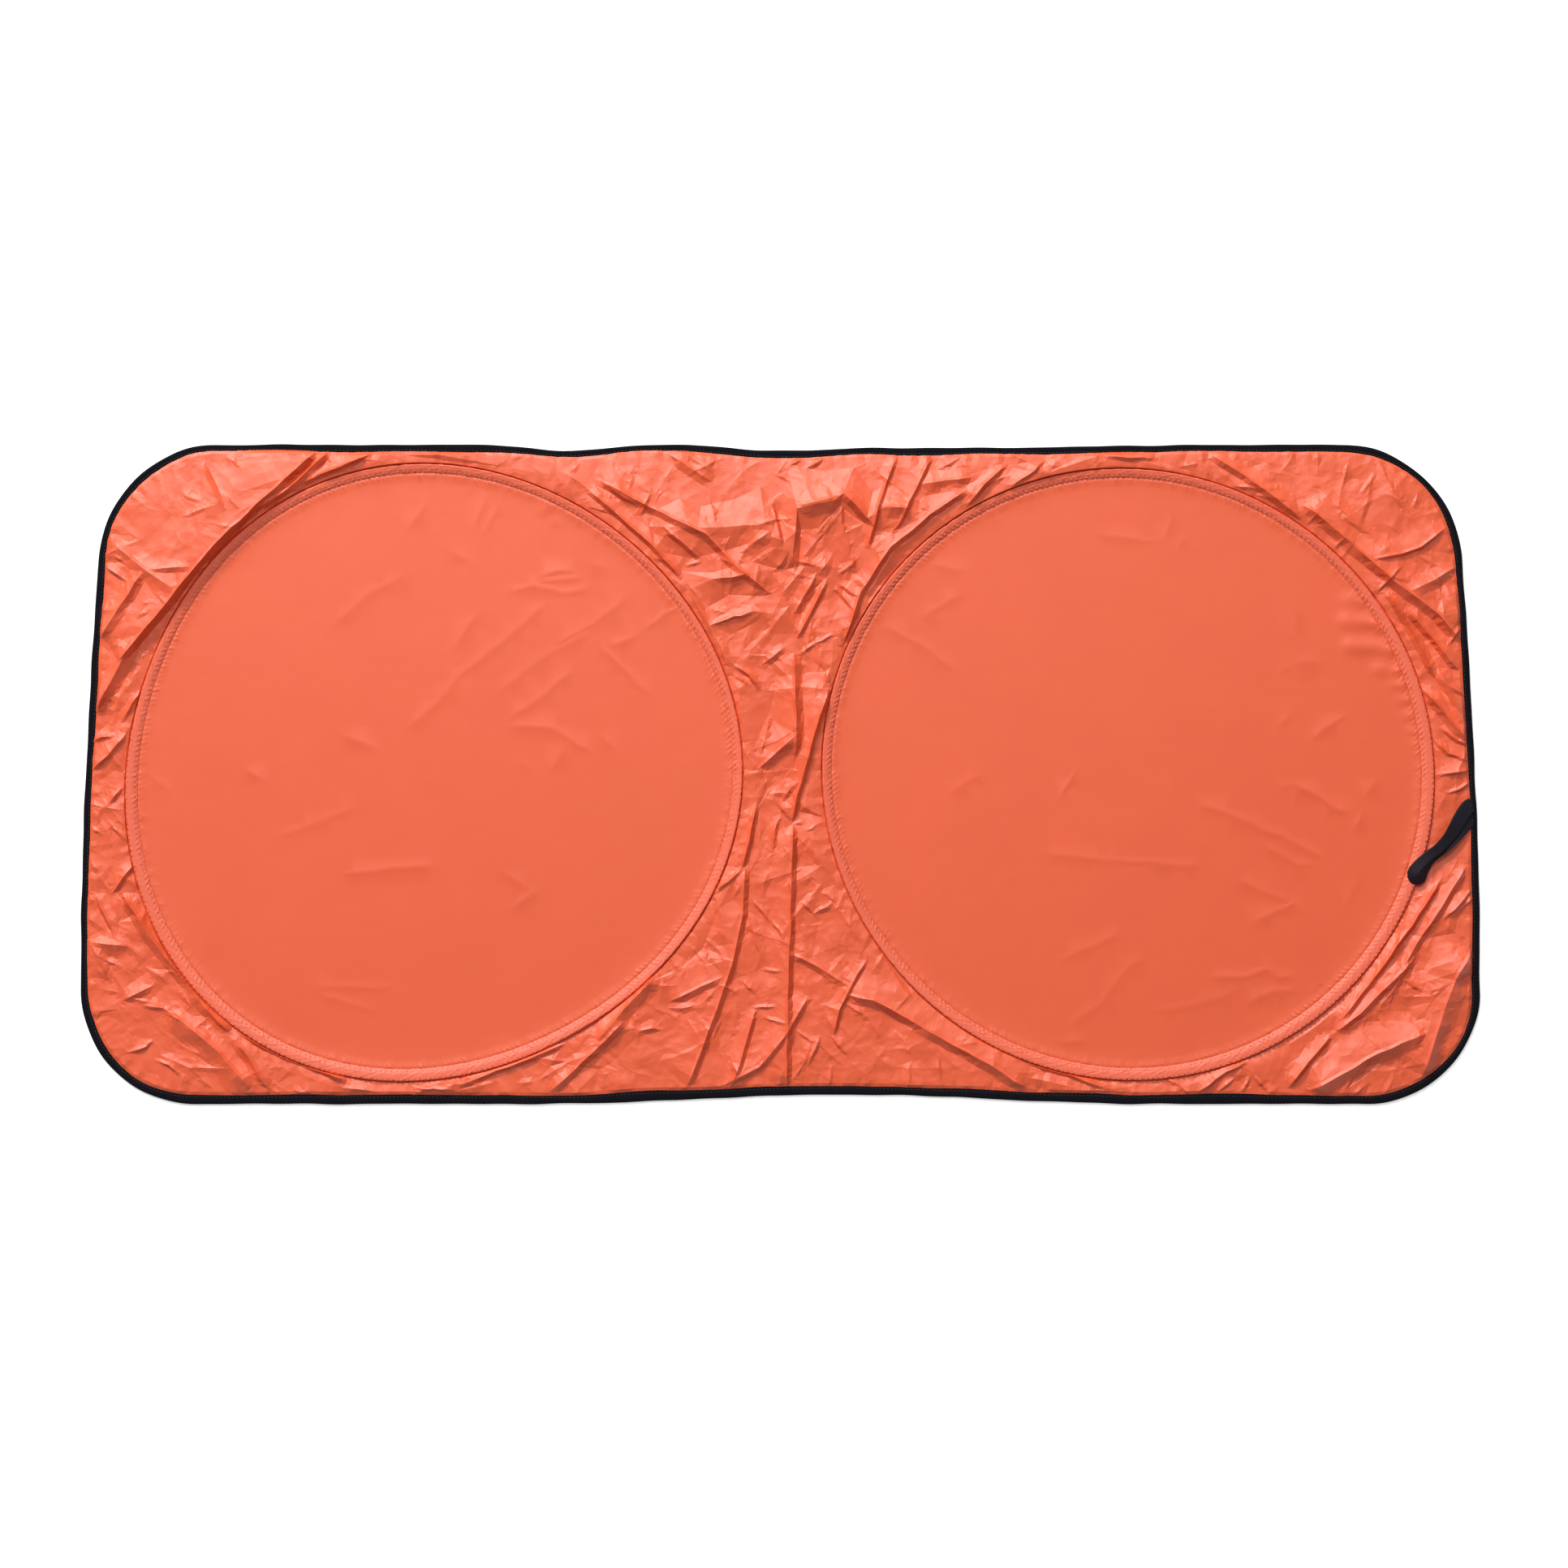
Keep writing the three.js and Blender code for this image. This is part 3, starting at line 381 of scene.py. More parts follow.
# %% Ripples, hair creases and smoother places
RIPPLES = [  # soft waves inside the hoops: height, half width, points
    (1.3, 12, (598, 188), (648, 184)), (2.1, 13, (596, 166), (655, 161)),
    (2.1, 12, (600, 140), (664, 134)), (1.6, 10, (632, 114), (671, 111)),
    (1.4, 9, (648, 96), (676, 95)), (1.1, 8, (656, 80), (681, 79)), (0.8, 7, (662, 63), (684, 62)),
    (0.6, 7, (666, 47), (686, 46)), (0.5, 6, (670, 33), (687, 32)), (0.8, 10, (-264, 281), (-238, 289)),
    (0.5, 8, (-252, 268), (-232, 273)),
]
WRINKLES = [  # hair creases of the two discs: height, half width, points
    # left disc
    (0.6, 4, (-258, 213), (-238, 219), (-222, 218)), (0.4, 4, (-258, 207), (-212, 211)),
    (0.4, 4, (-290, 196), (-265, 203), (-232, 195), (-205, 199)), (0.45, 4, (-192, 138), (-140, 85)),
    (0.4, 4, (-185, 138), (-153, 148)), (0.45, 4, (-145, 155), (-125, 172), (-108, 180)),
    (0.4, 4, (-290, 52), (-245, 50), (-222, 35), (-200, 23)), (0.35, 4, (-232, 30), (-246, 2)),
    (0.4, 3, (-192, 43), (-177, 24)), (0.4, 4, (-470, 42), (-432, 28)),
    (0.4, 4, (-470, -108), (-420, -101), (-370, -97)), (0.4, 4, (-300, -102), (-268, -125)),
    (0.35, 4, (-290, -145), (-258, -122)), (0.3, 5, (-540, -68), (-455, -35)),
    (0.3, 4, (-500, -227), (-415, -229)), (0.3, 4, (-495, -235), (-435, -254)),
    (0.35, 4, (-222, 112), (-250, 88), (-290, 60)), (0.3, 5, (-205, 152), (-250, 128), (-300, 90)),
    (0.3, 4, (-165, 190), (-200, 162), (-240, 140)),
    (0.35, 5, (-400, 50), (-370, 75), (-340, 110), (-300, 140), (-250, 185)),
    (0.35, 4, (-675, 0), (-655, -20)), (0.35, 3, (-575, 5), (-552, -6)),
    (0.3, 4, (-355, 240), (-330, 227)), (0.35, 4, (-400, 262), (-378, 293)),
    (0.4, 4, (-330, 262), (-315, 300)), (0.35, 4, (-318, 258), (-302, 290)),
    (0.3, 5, (-480, 160), (-440, 195), (-400, 215)), (0.35, 4, (-350, 135), (-325, 175)),
    (0.3, 4, (-205, 228), (-185, 222)), (0.3, 4, (-280, 15), (-268, 5)),
    # right disc
    (0.4, 4, (535, -15), (550, -10)), (0.8, 4, (550, -10), (575, -22), (598, -38), (610, -41)),
    (0.5, 4, (450, -30), (500, -50), (545, -70), (583, -90)),
    (0.45, 4, (520, -75), (555, -97), (574, -97)), (0.45, 4, (490, -112), (545, -138)),
    (0.45, 4, (505, -160), (550, -138), (566, -153)), (0.5, 4, (568, 38), (590, 53), (608, 64)),
    (0.4, 4, (535, 52), (548, 66)),
    (0.5, 4, (460, -217), (500, -217), (522, -208), (535, -218), (552, -217)),
    (0.6, 5, (500, -245), (530, -232), (556, -232)), (0.3, 5, (400, -255), (450, -245), (490, -232)),
    (0.35, 4, (285, -85), (330, -90), (370, -93), (450, -98)),
    (0.4, 4, (110, 160), (150, 140), (190, 110)), (0.3, 4, (150, 167), (195, 195)),
    (0.3, 4, (160, 227), (200, 218)), (0.3, 4, (340, 257), (405, 250)),
    (0.3, 3, (412, 250), (420, 280)), (0.25, 3, (425, 240), (435, 255)), (0.3, 4, (180, -22), (215, 2)),
    (0.4, 3, (300, -25), (317, 5)), (0.35, 5, (310, -270), (345, -245), (365, -215), (390, -195)),
    (0.3, 4, (300, -200), (365, -170)), (0.35, 4, (298, -288), (330, -285)),
    (0.4, 4, (625, -25), (641, -5)), (0.4, 3, (615, -60), (625, -40)), (0.3, 4, (550, 120), (580, 122)),
    (0.3, 4, (535, 110), (548, 118)), (0.3, 4, (553, 180), (553, 145)),
    (0.3, 5, (620, -110), (605, -145)), (0.4, 4, (566, -236), (580, -222)),
]
HAIR_WIDTH = 0.62  # how much of the listed half width a hair crease takes
CALM = [  # smoother places: X, Y, reach in X, reach in Y, share of the small creases left
    (0, 310, 170, 40, 0.3), (-655, 268, 85, 75, 0.25), (690, 255, 50, 70, 0.55),
    (655, -300, 75, 45, 0.45), (150, -310, 130, 34, 0.45), (-120, -300, 80, 50, 0.4),
    (8, -230, 70, 130, 0.4),
    (-690, -290, 90, 75, 0.45), (-715, -120, 40, 110, 0.6), (715, 60, 40, 120, 0.6),
]
print(len(RIPPLES), "ripples,", len(WRINKLES), "hair creases,", len(CALM), "smoother places")

# %% [markdown]
# Between the hoops the cloth stands in a few large flat panels. Their corners are given with their
# heights: a lit panel rises away from the light's side, a shaded one falls away from it.

# %% Corners of the large panels near the middle: X, Y, height
PANELS = [
    [(-118, 264, 5), (-88, 263, 6), (-60, 264, 6.5), (-38, 266, 7.5), (-16, 266, 8), (-10, 254, 7.5),
     (-4, 242, 7), (4, 249, 7.5), (9, 238, 7), (13, 232, 6.5), (16, 258, 8), (18, 284, 9.5),
     (36, 288, 9.5), (58, 292, 9.5), (67, 300, 10), (80, 288, 8), (93, 274, 7)],
    [(-72, 216, 1), (-58, 220, 1), (-46, 224, 2)],
    [(-30, 227, 1.5), (-8, 221, 0.2), (6, 219, 0.2), (20, 223, 0.5), (22, 262, 1.5), (40, 263, 1),
     (60, 262, 1.5)],
    [(64, 287, 3.5), (78, 276, 2.5), (90, 269, 2.5)],
    [(-6, 88, 0.5), (-14, 60, -1), (-18, 28, -1)],
    [(-44, 92, 3), (-42, 60, 3.4), (-38, 25, 2.6)],
    [(14, 88, 3.5), (15, 60, 4), (15, 44, 3.5)],
    [(-72, 209, 4.5), (-50, 210, 4), (-38, 214, 4)],
    [(-20, 191, 0), (-8, 193, 0.5), (4, 196, 3)],
    [(-76, 159, 3.5), (-56, 168, 3), (-30, 175, 3.5), (-8, 172, 3), (8, 168, 3)],
    [(-66, 140, 2), (-52, 150, -0.5), (-32, 160, 0), (-6, 150, 0.5)],
    [(-60, 126, 3), (-44, 126, 2.5)],
    [(108, 284, 6), (128, 285, 6)],
    [(103, 262, 1), (116, 258, 0.5)],
    [(26, 222, 3), (42, 222, 3), (52, 214, 0.5)],
]
print(sum(len(chain) for chain in PANELS), "panel corners on", len(PANELS), "edges")

# %% [markdown]
# A fold is worked out as a height over the plan: full on its crest, falling to nothing at the width
# of its side, and fading in at both ends. The broad side ends in a small pinched ridge at the crest,
# and the steep side's width swings a little along the fold. A closed form like this lets any mesh
# take the same cloth.

# %% Height of a fold
PINCH = 0.22
PINCH_WIDTH = 3.0
BROAD_POWER = 1.2
STEEP_POWER = 1.5
STEEP_SHARE = 0.62
STEEP_LEAST = 3.2
END_SHARE = 0.12
NARROW_END = 0.45
SWINGS = ((0.2, 13, 9), (0.12, 5.3, 4))  # share of the width, millimetres a radian, turn by height


def wavy(line, seed, step=12.0, amount=0.4):
    line = np.array(line, dtype=float)
    shifts = np.random.default_rng(seed)
    points = [line[0]]
    for start, end in zip(line[:-1], line[1:]):
        length = np.linalg.norm(end - start)
        side = np.array([-(end - start)[1], (end - start)[0]]) / length
        steps = max(1, int(length / step))
        for index in range(1, steps + 1):
            shift = shifts.normal(0, amount) if index < steps else 0
            points.append(start + (end - start) * index / steps + side * shift)
    return np.array(points)


def fold_rise(line, height, broad, steep, points, fade=14.0):
    rise = np.zeros(len(points))
    reach = max(broad, steep)
    low = line.min(axis=0) - reach
    high = line.max(axis=0) + reach
    near = np.flatnonzero(((points > low) & (points < high)).all(axis=1))
    if len(near) == 0:
        return rise
    spot = points[near]
    best = np.full(len(near), np.inf)
    value = np.zeros(len(near))
    lengths = np.linalg.norm(np.diff(line, axis=0), axis=1)
    whole = lengths.sum()
    walked = 0.0
    for start, end, length in zip(line[:-1], line[1:], lengths):
        ahead = (end - start) / length
        offset = spot - start
        along = np.clip(offset @ ahead, 0, length)
        away = np.linalg.norm(offset - along[:, None] * ahead, axis=1)
        left = ahead[0] * offset[:, 1] - ahead[1] * offset[:, 0] > 0
        place = walked + along
        full = np.clip(np.minimum(place, whole - place) / fade + END_SHARE, 0, 1)
        swing = 1 + sum(part * np.sin(place / span + turn * height) for part, span, turn in SWINGS)
        width = np.where(left, broad, steep * swing) * (NARROW_END + (1 - NARROW_END) * full)
        share = np.clip(1 - away / width, 0, 1)
        pinch = np.clip(1 - away / PINCH_WIDTH, 0, 1)
        slope = (1 - PINCH) * share ** BROAD_POWER + PINCH * pinch
        lift = height * full * np.where(left, slope, share ** STEEP_POWER)
        closer = away < best
        value[closer] = lift[closer]
        best[closer] = away[closer]
        walked += length
    rise[near] = value
    return rise


def steep_side(steep):
    return max(STEEP_LEAST, steep * STEEP_SHARE)


first_crest = wavy(MAIN_FOLDS[0][3:], 100)
print("the first main crest has", len(first_crest), "points")

# %% [markdown]
# Where folds cross they pile up, as cloth over cloth does. Ripples are rounded at the crest, hair
# creases are narrow on both sides, and the smoother places scale down the small creases and facets.
# Each listed crest is also made to wander a little, since no crease in cloth is ruled straight.

# %% Pile the folds
SOFT_WIDTH = 1.6
SOFT_FADE = 10.0
HAIR_FADE = 12.0


def pile(folds, lines, points):
    total = np.zeros(len(points))
    for fold, line in zip(folds, lines):
        total += fold_rise(line, fold[0], fold[1], steep_side(fold[2]), points)
    return total


def soft_pile(folds, lines, points):
    total = np.zeros(len(points))
    for (height, half), line in zip([fold[:2] for fold in folds], lines):
        rise = fold_rise(line, 1.0, half * SOFT_WIDTH, half * SOFT_WIDTH, points, SOFT_FADE)
        total += height * rise * rise * (3 - 2 * rise)
    return total


def hair_pile(folds, lines, points):
    total = np.zeros(len(points))
    for (height, half), line in zip([fold[:2] for fold in folds], lines):
        total += fold_rise(line, height, half * HAIR_WIDTH, half * HAIR_WIDTH, points, HAIR_FADE)
    return total


def calm(points):
    share = np.ones(len(points))
    for x, y, reach_x, reach_y, least in CALM:
        away = np.hypot((points[:, 0] - x) / reach_x, (points[:, 1] - y) / reach_y)
        share = np.minimum(share, least + (1 - least) * np.clip(away * away, 0, 1))
    return share


fold_lines = [wavy(fold[3:], 100 + index) for index, fold in enumerate(MAIN_FOLDS)]
fine_lines = [wavy(fold[3:], 300 + index, 7.0, 0.5) for index, fold in enumerate(FINE_FOLDS)]
ripple_lines = [wavy(fold[2:], 500 + index, 12.0, 0.5) for index, fold in enumerate(RIPPLES)]
wrinkle_lines = [wavy(fold[2:], 600 + index, 8.0, 0.5) for index, fold in enumerate(WRINKLES)]
print("crests:", len(fold_lines), "main,", len(fine_lines), "fine,", len(ripple_lines), "of ripples")

# %% [markdown]
# Two distances steer the margin: how far a point is inside the bound edge, and how far outside the
# nearer hoop. Both fade the folds out where the cloth is sewn down. The binding tape is part of the
# same measure: its width wanders a little, and it turns more of its face up along the lower side.

# %% Room around a point
TAPE_WIDTH = 7.5
TAPE_WIDER_BELOW = 2.4
TAPE_SWELL = 0.9


def nearest_index(points, line):
    tree = KDTree(len(line))
    for index, (x, y) in enumerate(line):
        tree.insert((x, y, 0), index)
    tree.balance()
    return np.array([tree.find((x, y, 0))[1] for x, y in points])


def edge_room(points, line=None):
    line = edge_line if line is None else line
    nearest = nearest_index(points, line)
    room = np.full(len(points), np.inf)
    place = np.zeros(len(points))
    for first in (nearest - 1, nearest):
        start = line[first]
        span = line[(first + 1) % len(line)] - start
        offset = points - start
        share = np.clip((offset * span).sum(axis=1) / (span ** 2).sum(axis=1), 0, 1)
        away = np.linalg.norm(offset - share[:, None] * span, axis=1)
        inner = span[:, 0] * offset[:, 1] - span[:, 1] * offset[:, 0] > 0
        closer = away < np.abs(room)
        room[closer] = np.where(inner, away, -away)[closer]
        place[closer] = (np.mod(first + share, len(line)) * edge_length / len(line))[closer]
    return room, place


def hoop_room(points):
    rooms = []
    places = []
    for hoop in HOOPS:
        offset = points - np.array([hoop["x"], HOOP_LIFT])
        angle = np.arctan2(offset[:, 1], offset[:, 0])
        rooms.append(np.linalg.norm(offset, axis=1) - hoop_reach(hoop, angle))
        places.append(np.mod(angle, 2 * math.pi) * HOOP_RADIUS)
    nearer = np.argmin(rooms, axis=0)
    rows = np.arange(len(points))
    return np.array(rooms)[nearer, rows], np.array(places)[nearer, rows], nearer


def tape_width(place):
    around = uneven(place, edge_length, (420, 160), 21)
    point = np.column_stack([np.interp(place, edge_places, edge_line[:, axis]) for axis in (0, 1)])
    low = np.clip(-point[:, 1] / half_height - 0.8, 0, 0.2) * 5
    return TAPE_WIDTH + TAPE_WIDER_BELOW * low + TAPE_SWELL * around


middle_room, _ = edge_room(np.array([[0.0, 0.0]]))
print("from the middle to the bound edge:", round(float(middle_room[0])), "mm")

# %% [markdown]
# Cloth pulled round a hoop also gathers into small straight creases that follow the pull, so each
# of these runs roughly along the tangent of one hoop, and a few run across. There are too many to
# list, and no one looks for a certain one, so their places and sizes are drawn with a seed.

# %% Small creases along the pull
TENSION_COUNT = 620
TENSION_SEED = 11
TENSION_ROOM = (14, 5)  # least room to the edge and to the casing
TENSION_BEND = 0.05
NEARER_SHARE = 0.68
WAIST_REACH = 250
TURN_SPREAD = 0.42
CROSS_SHARE = 0.16
LENGTHS = (16, 22, 62)  # least, usual more, most more
HEIGHTS = (0.35, 0.5, 1.8)
BROAD_SIDES = (5, 13)
STEEP_SIDES = (3, 5.5)


def tension_creases(count):
    draw = np.random.default_rng(TENSION_SEED)
    spots = draw.uniform((-half_width, -half_height), (half_width, half_height), (count * 9, 2))
    room, _ = edge_room(spots)
    outside, _, _ = hoop_room(spots)
    spots = spots[(room > TENSION_ROOM[0]) & (outside > casing_half + TENSION_ROOM[1])][:count]
    found = []
    for spot in spots:
        offsets = [spot - np.array([hoop["x"], HOOP_LIFT]) for hoop in HOOPS]
        offsets.sort(key=np.linalg.norm)
        radius = offsets[0] if draw.random() < NEARER_SHARE or abs(spot[0]) > WAIST_REACH else offsets[1]
        turn = math.atan2(radius[0], -radius[1]) + draw.normal(0, TURN_SPREAD)
        if draw.random() < CROSS_SHARE:
            turn += math.pi / 2
        if draw.random() < 0.5:
            turn += math.pi
        length = LENGTHS[0] + min(draw.exponential(LENGTHS[1]), LENGTHS[2])
        way = np.array([math.cos(turn), math.sin(turn)])
        side = np.array([-way[1], way[0]])
        height = HEIGHTS[0] + min(draw.exponential(HEIGHTS[1]), HEIGHTS[2])
        bent = spot + side * draw.normal(0, TENSION_BEND) * length
        points = [spot - way * length / 2, bent, spot + way * length / 2]
        broad = draw.uniform(*BROAD_SIDES)
        steep = draw.uniform(*STEEP_SIDES)
        found.append((height, broad, steep, *[tuple(point) for point in points]))
    return found


TENSION_FOLDS = tension_creases(TENSION_COUNT)
tension_lines = [wavy(fold[3:], 900 + index, 9.0, 0.3) for index, fold in enumerate(TENSION_FOLDS)]
print(len(TENSION_FOLDS), "small creases")

# %% [markdown]
# Between the folds the cloth is crumpled into flat facets with sharp edges, the mark of coated
# taffeta that has been packed tight many times. A scatter of points with small random heights,
# joined by triangles, gives such facets, and their edges become edges of the sheet's own mesh.

# %% Facets of crumpled cloth
ROW_SHARE = 0.87  # row spacing of a grid of even triangles
FACET_STEP = 25.0
FACET_HEIGHT = 1.15
FACET_JITTER = 0.42
FACET_ROOM = (9, 4)  # least room to the edge and to the wire
PANEL_ROOM = 17
RIM_EVERY = 8


def facet_rise(points, above=50):
    rise = np.zeros(len(points))
    for index, (x, y) in enumerate(points):
        hit = facet_tree.ray_cast((x, y, above), (0, 0, -1))[0]
        if hit is not None:
            rise[index] = hit.z
    return rise


scatter = []
for row in np.arange(-half_height, half_height, FACET_STEP * ROW_SHARE):
    for column in np.arange(-half_width, half_width, FACET_STEP):
        shift_x = chance.uniform(-FACET_JITTER, FACET_JITTER) * FACET_STEP
        shift_y = chance.uniform(-FACET_JITTER, FACET_JITTER) * FACET_STEP
        scatter.append([column + shift_x, row + shift_y])
scatter = np.array(scatter)
room, _ = edge_room(scatter)
away_from_hoop, _, _ = hoop_room(scatter)
scatter = scatter[(room > FACET_ROOM[0]) & (away_from_hoop > FACET_ROOM[1])]
corner_points = []
panel_edges = []
for chain in PANELS:
    start = len(corner_points)
    corner_points.extend(chain)
    panel_edges.extend((start + index, start + index + 1) for index in range(len(chain) - 1))
corner_points = np.array(corner_points, dtype=float)
apart = np.linalg.norm(scatter[:, None, :] - corner_points[None, :, :2], axis=2).min(axis=1)
scatter = scatter[apart > PANEL_ROOM]
facet_height = np.concatenate([corner_points[:, 2], chance.normal(0, FACET_HEIGHT, len(scatter))])
facet_height[len(corner_points):] *= calm(scatter)
rim_nodes = edge_line[::RIM_EVERY] + edge_out[::RIM_EVERY] * 2
scatter = np.vstack([corner_points[:, :2], scatter, rim_nodes])
facet_height = np.concatenate([facet_height, np.zeros(len(rim_nodes))])
facets = delaunay_2d_cdt([Vector(point) for point in scatter], panel_edges, [], 0, 1e-3)
facet_faces = np.array(facets[2])
facet_edges = np.array(facets[1])
facet_heights = facet_height[[origin[0] for origin in facets[3]]]
facet_points = np.array([tuple(point) for point in facets[0]])
facet_corners = [(x, y, height) for (x, y), height in zip(facet_points, facet_heights)]
facet_tree = BVHTree.FromPolygons(facet_corners, [list(face) for face in facet_faces])
print(len(facet_points), "facet corners,", len(facet_faces), "facets")

# %% [markdown]
# How the margin meets each hoop was read from the photo every 20 degrees: how high it stands there,
# and how far it laps over the casing. It hangs over the casing on the upper arcs and ends at its
# edge on the lower ones.

# %% Margin beside each hoop
TABLE_STEPS = 18
LIPS = {  # height of the margin just outside each hoop, from the +X side on
    "left": (2, 2.2, 2.6, 4, 4.4, 4.4, 3, 2.6, 3, 2.4, 2, 0.4, 0.3, 0.4, 0.3, 0.4, 0.3, 1.2),
    "right": (2.2, 2.2, 3.2, 3.4, 3.6, 4, 4.4, 3.8, 4.2, 3.2, 2, 0.6, 0.8, 0.4, 0.8, 0, 1.2, 0.4),
}
SEAMS_OUT = {  # how far outside the wire the margin begins, from the +X side on
    "left": (3.7, 3.2, 3.0, 3.0, 3.0, 3.0, 3.0, 3.2, 4.2, 6.0, 6.5, 6.5, 6.5, 6.5, 6.2, 4.6, 3.8, 3.6),
    "right": (6.5, 6.0, 4.4, 3.2, 3.0, 3.0, 3.0, 3.0, 3.2, 3.4, 3.8, 4.4, 5.4, 6.2, 6.5, 6.5, 6.5, 6.5),
}


def from_table(tables, around, nearer):
    turn = around / hoop_around * TABLE_STEPS
    values = np.zeros(len(around))
    for index, hoop in enumerate(HOOPS):
        row = np.array(tables[hoop["side"]] + tables[hoop["side"]][:1], dtype=float)
        mine = nearer == index
        values[mine] = np.interp(turn[mine], np.arange(TABLE_STEPS + 1), row)
    return values


print("the margin laps", casing_half - min(SEAMS_OUT["left"]), "mm over the left casing at most")

# %% [markdown]
# Inside the hoops the sheet lies flat. Only along the casing does it stand up a little, and the
# thread draws it into small slanting teeth, one to a stitch. The ripples and hair creases lie on top.

# %% Cloth inside a hoop
TEETH_HEIGHT = 1.05
TEETH_SLANT = 0.9
TEETH_REACH = 6.5
TEETH_WAVES = (16, 45)
DISC_START = 1.2
BAND_RISE = 0.8  # how high the sheet stands at the casing's inner edge
BAND_REACH = 7


def fading(distance, reach, power=1):
    return np.exp(-(np.maximum(distance, 0) / reach) ** power)


def teeth(around, inner):
    slant = around + TEETH_SLANT * inner
    beat = 0.5 - 0.5 * np.cos(2 * math.pi * slant / STITCH_PITCH)
    size = np.clip(0.75 + 0.45 * uneven(around, hoop_around, TEETH_WAVES, 37), 0.1, 1.6)
    return TEETH_HEIGHT * beat * size * fading(inner, TEETH_REACH, 2)


def disc_height(points, around, inner):
    creased = teeth(around, inner) + soft_pile(RIPPLES, ripple_lines, points)
    creased += hair_pile(WRINKLES, wrinkle_lines, points)
    return BAND_RISE * fading(inner, BAND_REACH, 2) + np.clip(inner / DISC_START, 0, 1) * creased


disc_middle = disc_height(np.array([[HOOPS[0]["x"], HOOP_LIFT]]), np.zeros(1), np.full(1, HOOP_RADIUS))
print("height in the left hoop's middle:", float(disc_middle[0]), "mm")

# %% [markdown]
# Outside the hoops the sheet stands a little off the floor and carries the folds, the facets,
# gathers along the tape and pulls along the seam. It is pressed down under the strap. Piled folds
# are bounded softly, so that crossing crests don't add up to a peak.

# %% Height of the sheet's underside
FOLD_LIMIT = 22.0
FOLD_SCALE = 1.3
MARGIN_LOFT = 1.8
LOFT_REACH = 12
LOFT_LEAST = 0.25
LOOSE_LEAST = 0.3
LIP_FLAT = 2
LIP_REACH = 16
LIP_POWER = 1.5
CROWN_HEIGHT = 6.5  # the upper margin stands higher
CROWN_FROM = 120
CROWN_OVER = 160
CROWN_HEM = 42
CROWN_SEAM = 40
GATHER_HEIGHT = 0.7
GATHER_WAVES = (15, 24)
GATHER_REACH = 11
PULL_HEIGHT = 0.5
PULL_WAVES = (13, 21)
PULL_REACH = 10
HEM_LAP = 1.0
HEM_FADE = 4
SEAM_FADE = 1.6
LOOSE_FADE = 6
STRAP_REST = np.array([half_width - 34, -62])
STRAP_REACH = 55
STRAP_PRESS = 0.75


def heaped_folds(points):
    heap = pile(MAIN_FOLDS, fold_lines, points) + pile(FINE_FOLDS, fine_lines, points)
    heap += pile(TENSION_FOLDS, tension_lines, points) * calm(points)
    return FOLD_LIMIT * (1 - np.exp(-heap * FOLD_SCALE / FOLD_LIMIT))


def loose_height(points, place, around, nearer, from_hem, from_seam):
    gathers = uneven(place, edge_length, GATHER_WAVES, 31) * GATHER_HEIGHT
    pulls = uneven(around, hoop_around, PULL_WAVES, 33) * PULL_HEIGHT
    lip = from_table(LIPS, around, nearer) * fading(from_seam - LIP_FLAT, LIP_REACH, LIP_POWER)
    loft = MARGIN_LOFT * np.clip(from_seam / LOFT_REACH, LOFT_LEAST, 1)
    high = np.clip((points[:, 1] - CROWN_FROM) / CROWN_OVER, 0, 1)
    off_edges = (1 - fading(from_hem, CROWN_HEM)) * np.clip(from_seam / CROWN_SEAM, 0, 1)
    crown = CROWN_HEIGHT * high * off_edges
    gathered = gathers * fading(from_hem, GATHER_REACH) + pulls * fading(from_seam, PULL_REACH)
    return np.maximum(loft + lip + crown + facet_rise(points) + gathered, LOOSE_LEAST)


def sheet_height(points):
    room, place = edge_room(points)
    outside, around, nearer = hoop_room(points)
    from_hem = room - tape_width(place) + HEM_LAP
    seam = from_table(SEAMS_OUT, around, nearer)
    from_seam = outside - seam
    free = np.clip(from_hem / HEM_FADE, 0, 1) * np.clip(from_seam / SEAM_FADE, 0, 1)
    pressed = 1 - STRAP_PRESS * bump(np.linalg.norm(points - STRAP_REST, axis=1), 0, STRAP_REACH)
    loose = loose_height(points, place, around, nearer, from_hem, from_seam)
    share = np.clip(from_seam, 0, None) / (np.clip(from_seam, 0, None) + np.clip(from_hem, 0.01, None))
    margin = RIM_Z * share + free * (loose + heaped_folds(points)) * pressed
    inner = -outside - casing_half
    disc = disc_height(points, around, inner)
    band = BAND_RISE * np.clip((seam - outside) / (seam + casing_half), 0, 1)
    height = np.where(outside > seam, margin, np.where(outside < -casing_half, disc, band))
    return np.maximum(height, 0), np.clip(from_seam / LOOSE_FADE, 0, 1)


waist_height, _ = sheet_height(np.array([[0.0, 0.0]]))
print("height at the waist between the hoops:", round(float(waist_height[0]), 2), "mm")

# %% [markdown]
# The sheet's mesh follows its own creases. Points are laid along the rim, the seams, every crest and
# the foot of every steep side, and along the facets' edges. The rest is filled on a fine grid, and
# a constrained triangulation joins them, so each crease is a clean line of edges. An even grid
# would need far more triangles for edges as sharp.

# %% Lines of points
plan = []
lines = []


def add_line(points, closed=False):
    start = len(plan)
    plan.extend(points)
    count = len(points)
    lines.extend((start + index, start + index + 1) for index in range(count - 1))
    if closed:
        lines.append((start + count - 1, start))


def dense(line, step):
    points = [line[0]]
    for start, end in zip(line[:-1], line[1:]):
        steps = max(1, int(round(np.linalg.norm(end - start) / step)))
        points.extend(start + (end - start) * index / steps for index in range(1, steps + 1))
    return np.array(points)


def shifted(line, distance):
    ahead = np.gradient(line, axis=0)
    ahead /= np.linalg.norm(ahead, axis=1)[:, None]
    return line + np.column_stack([ahead[:, 1], -ahead[:, 0]]) * distance


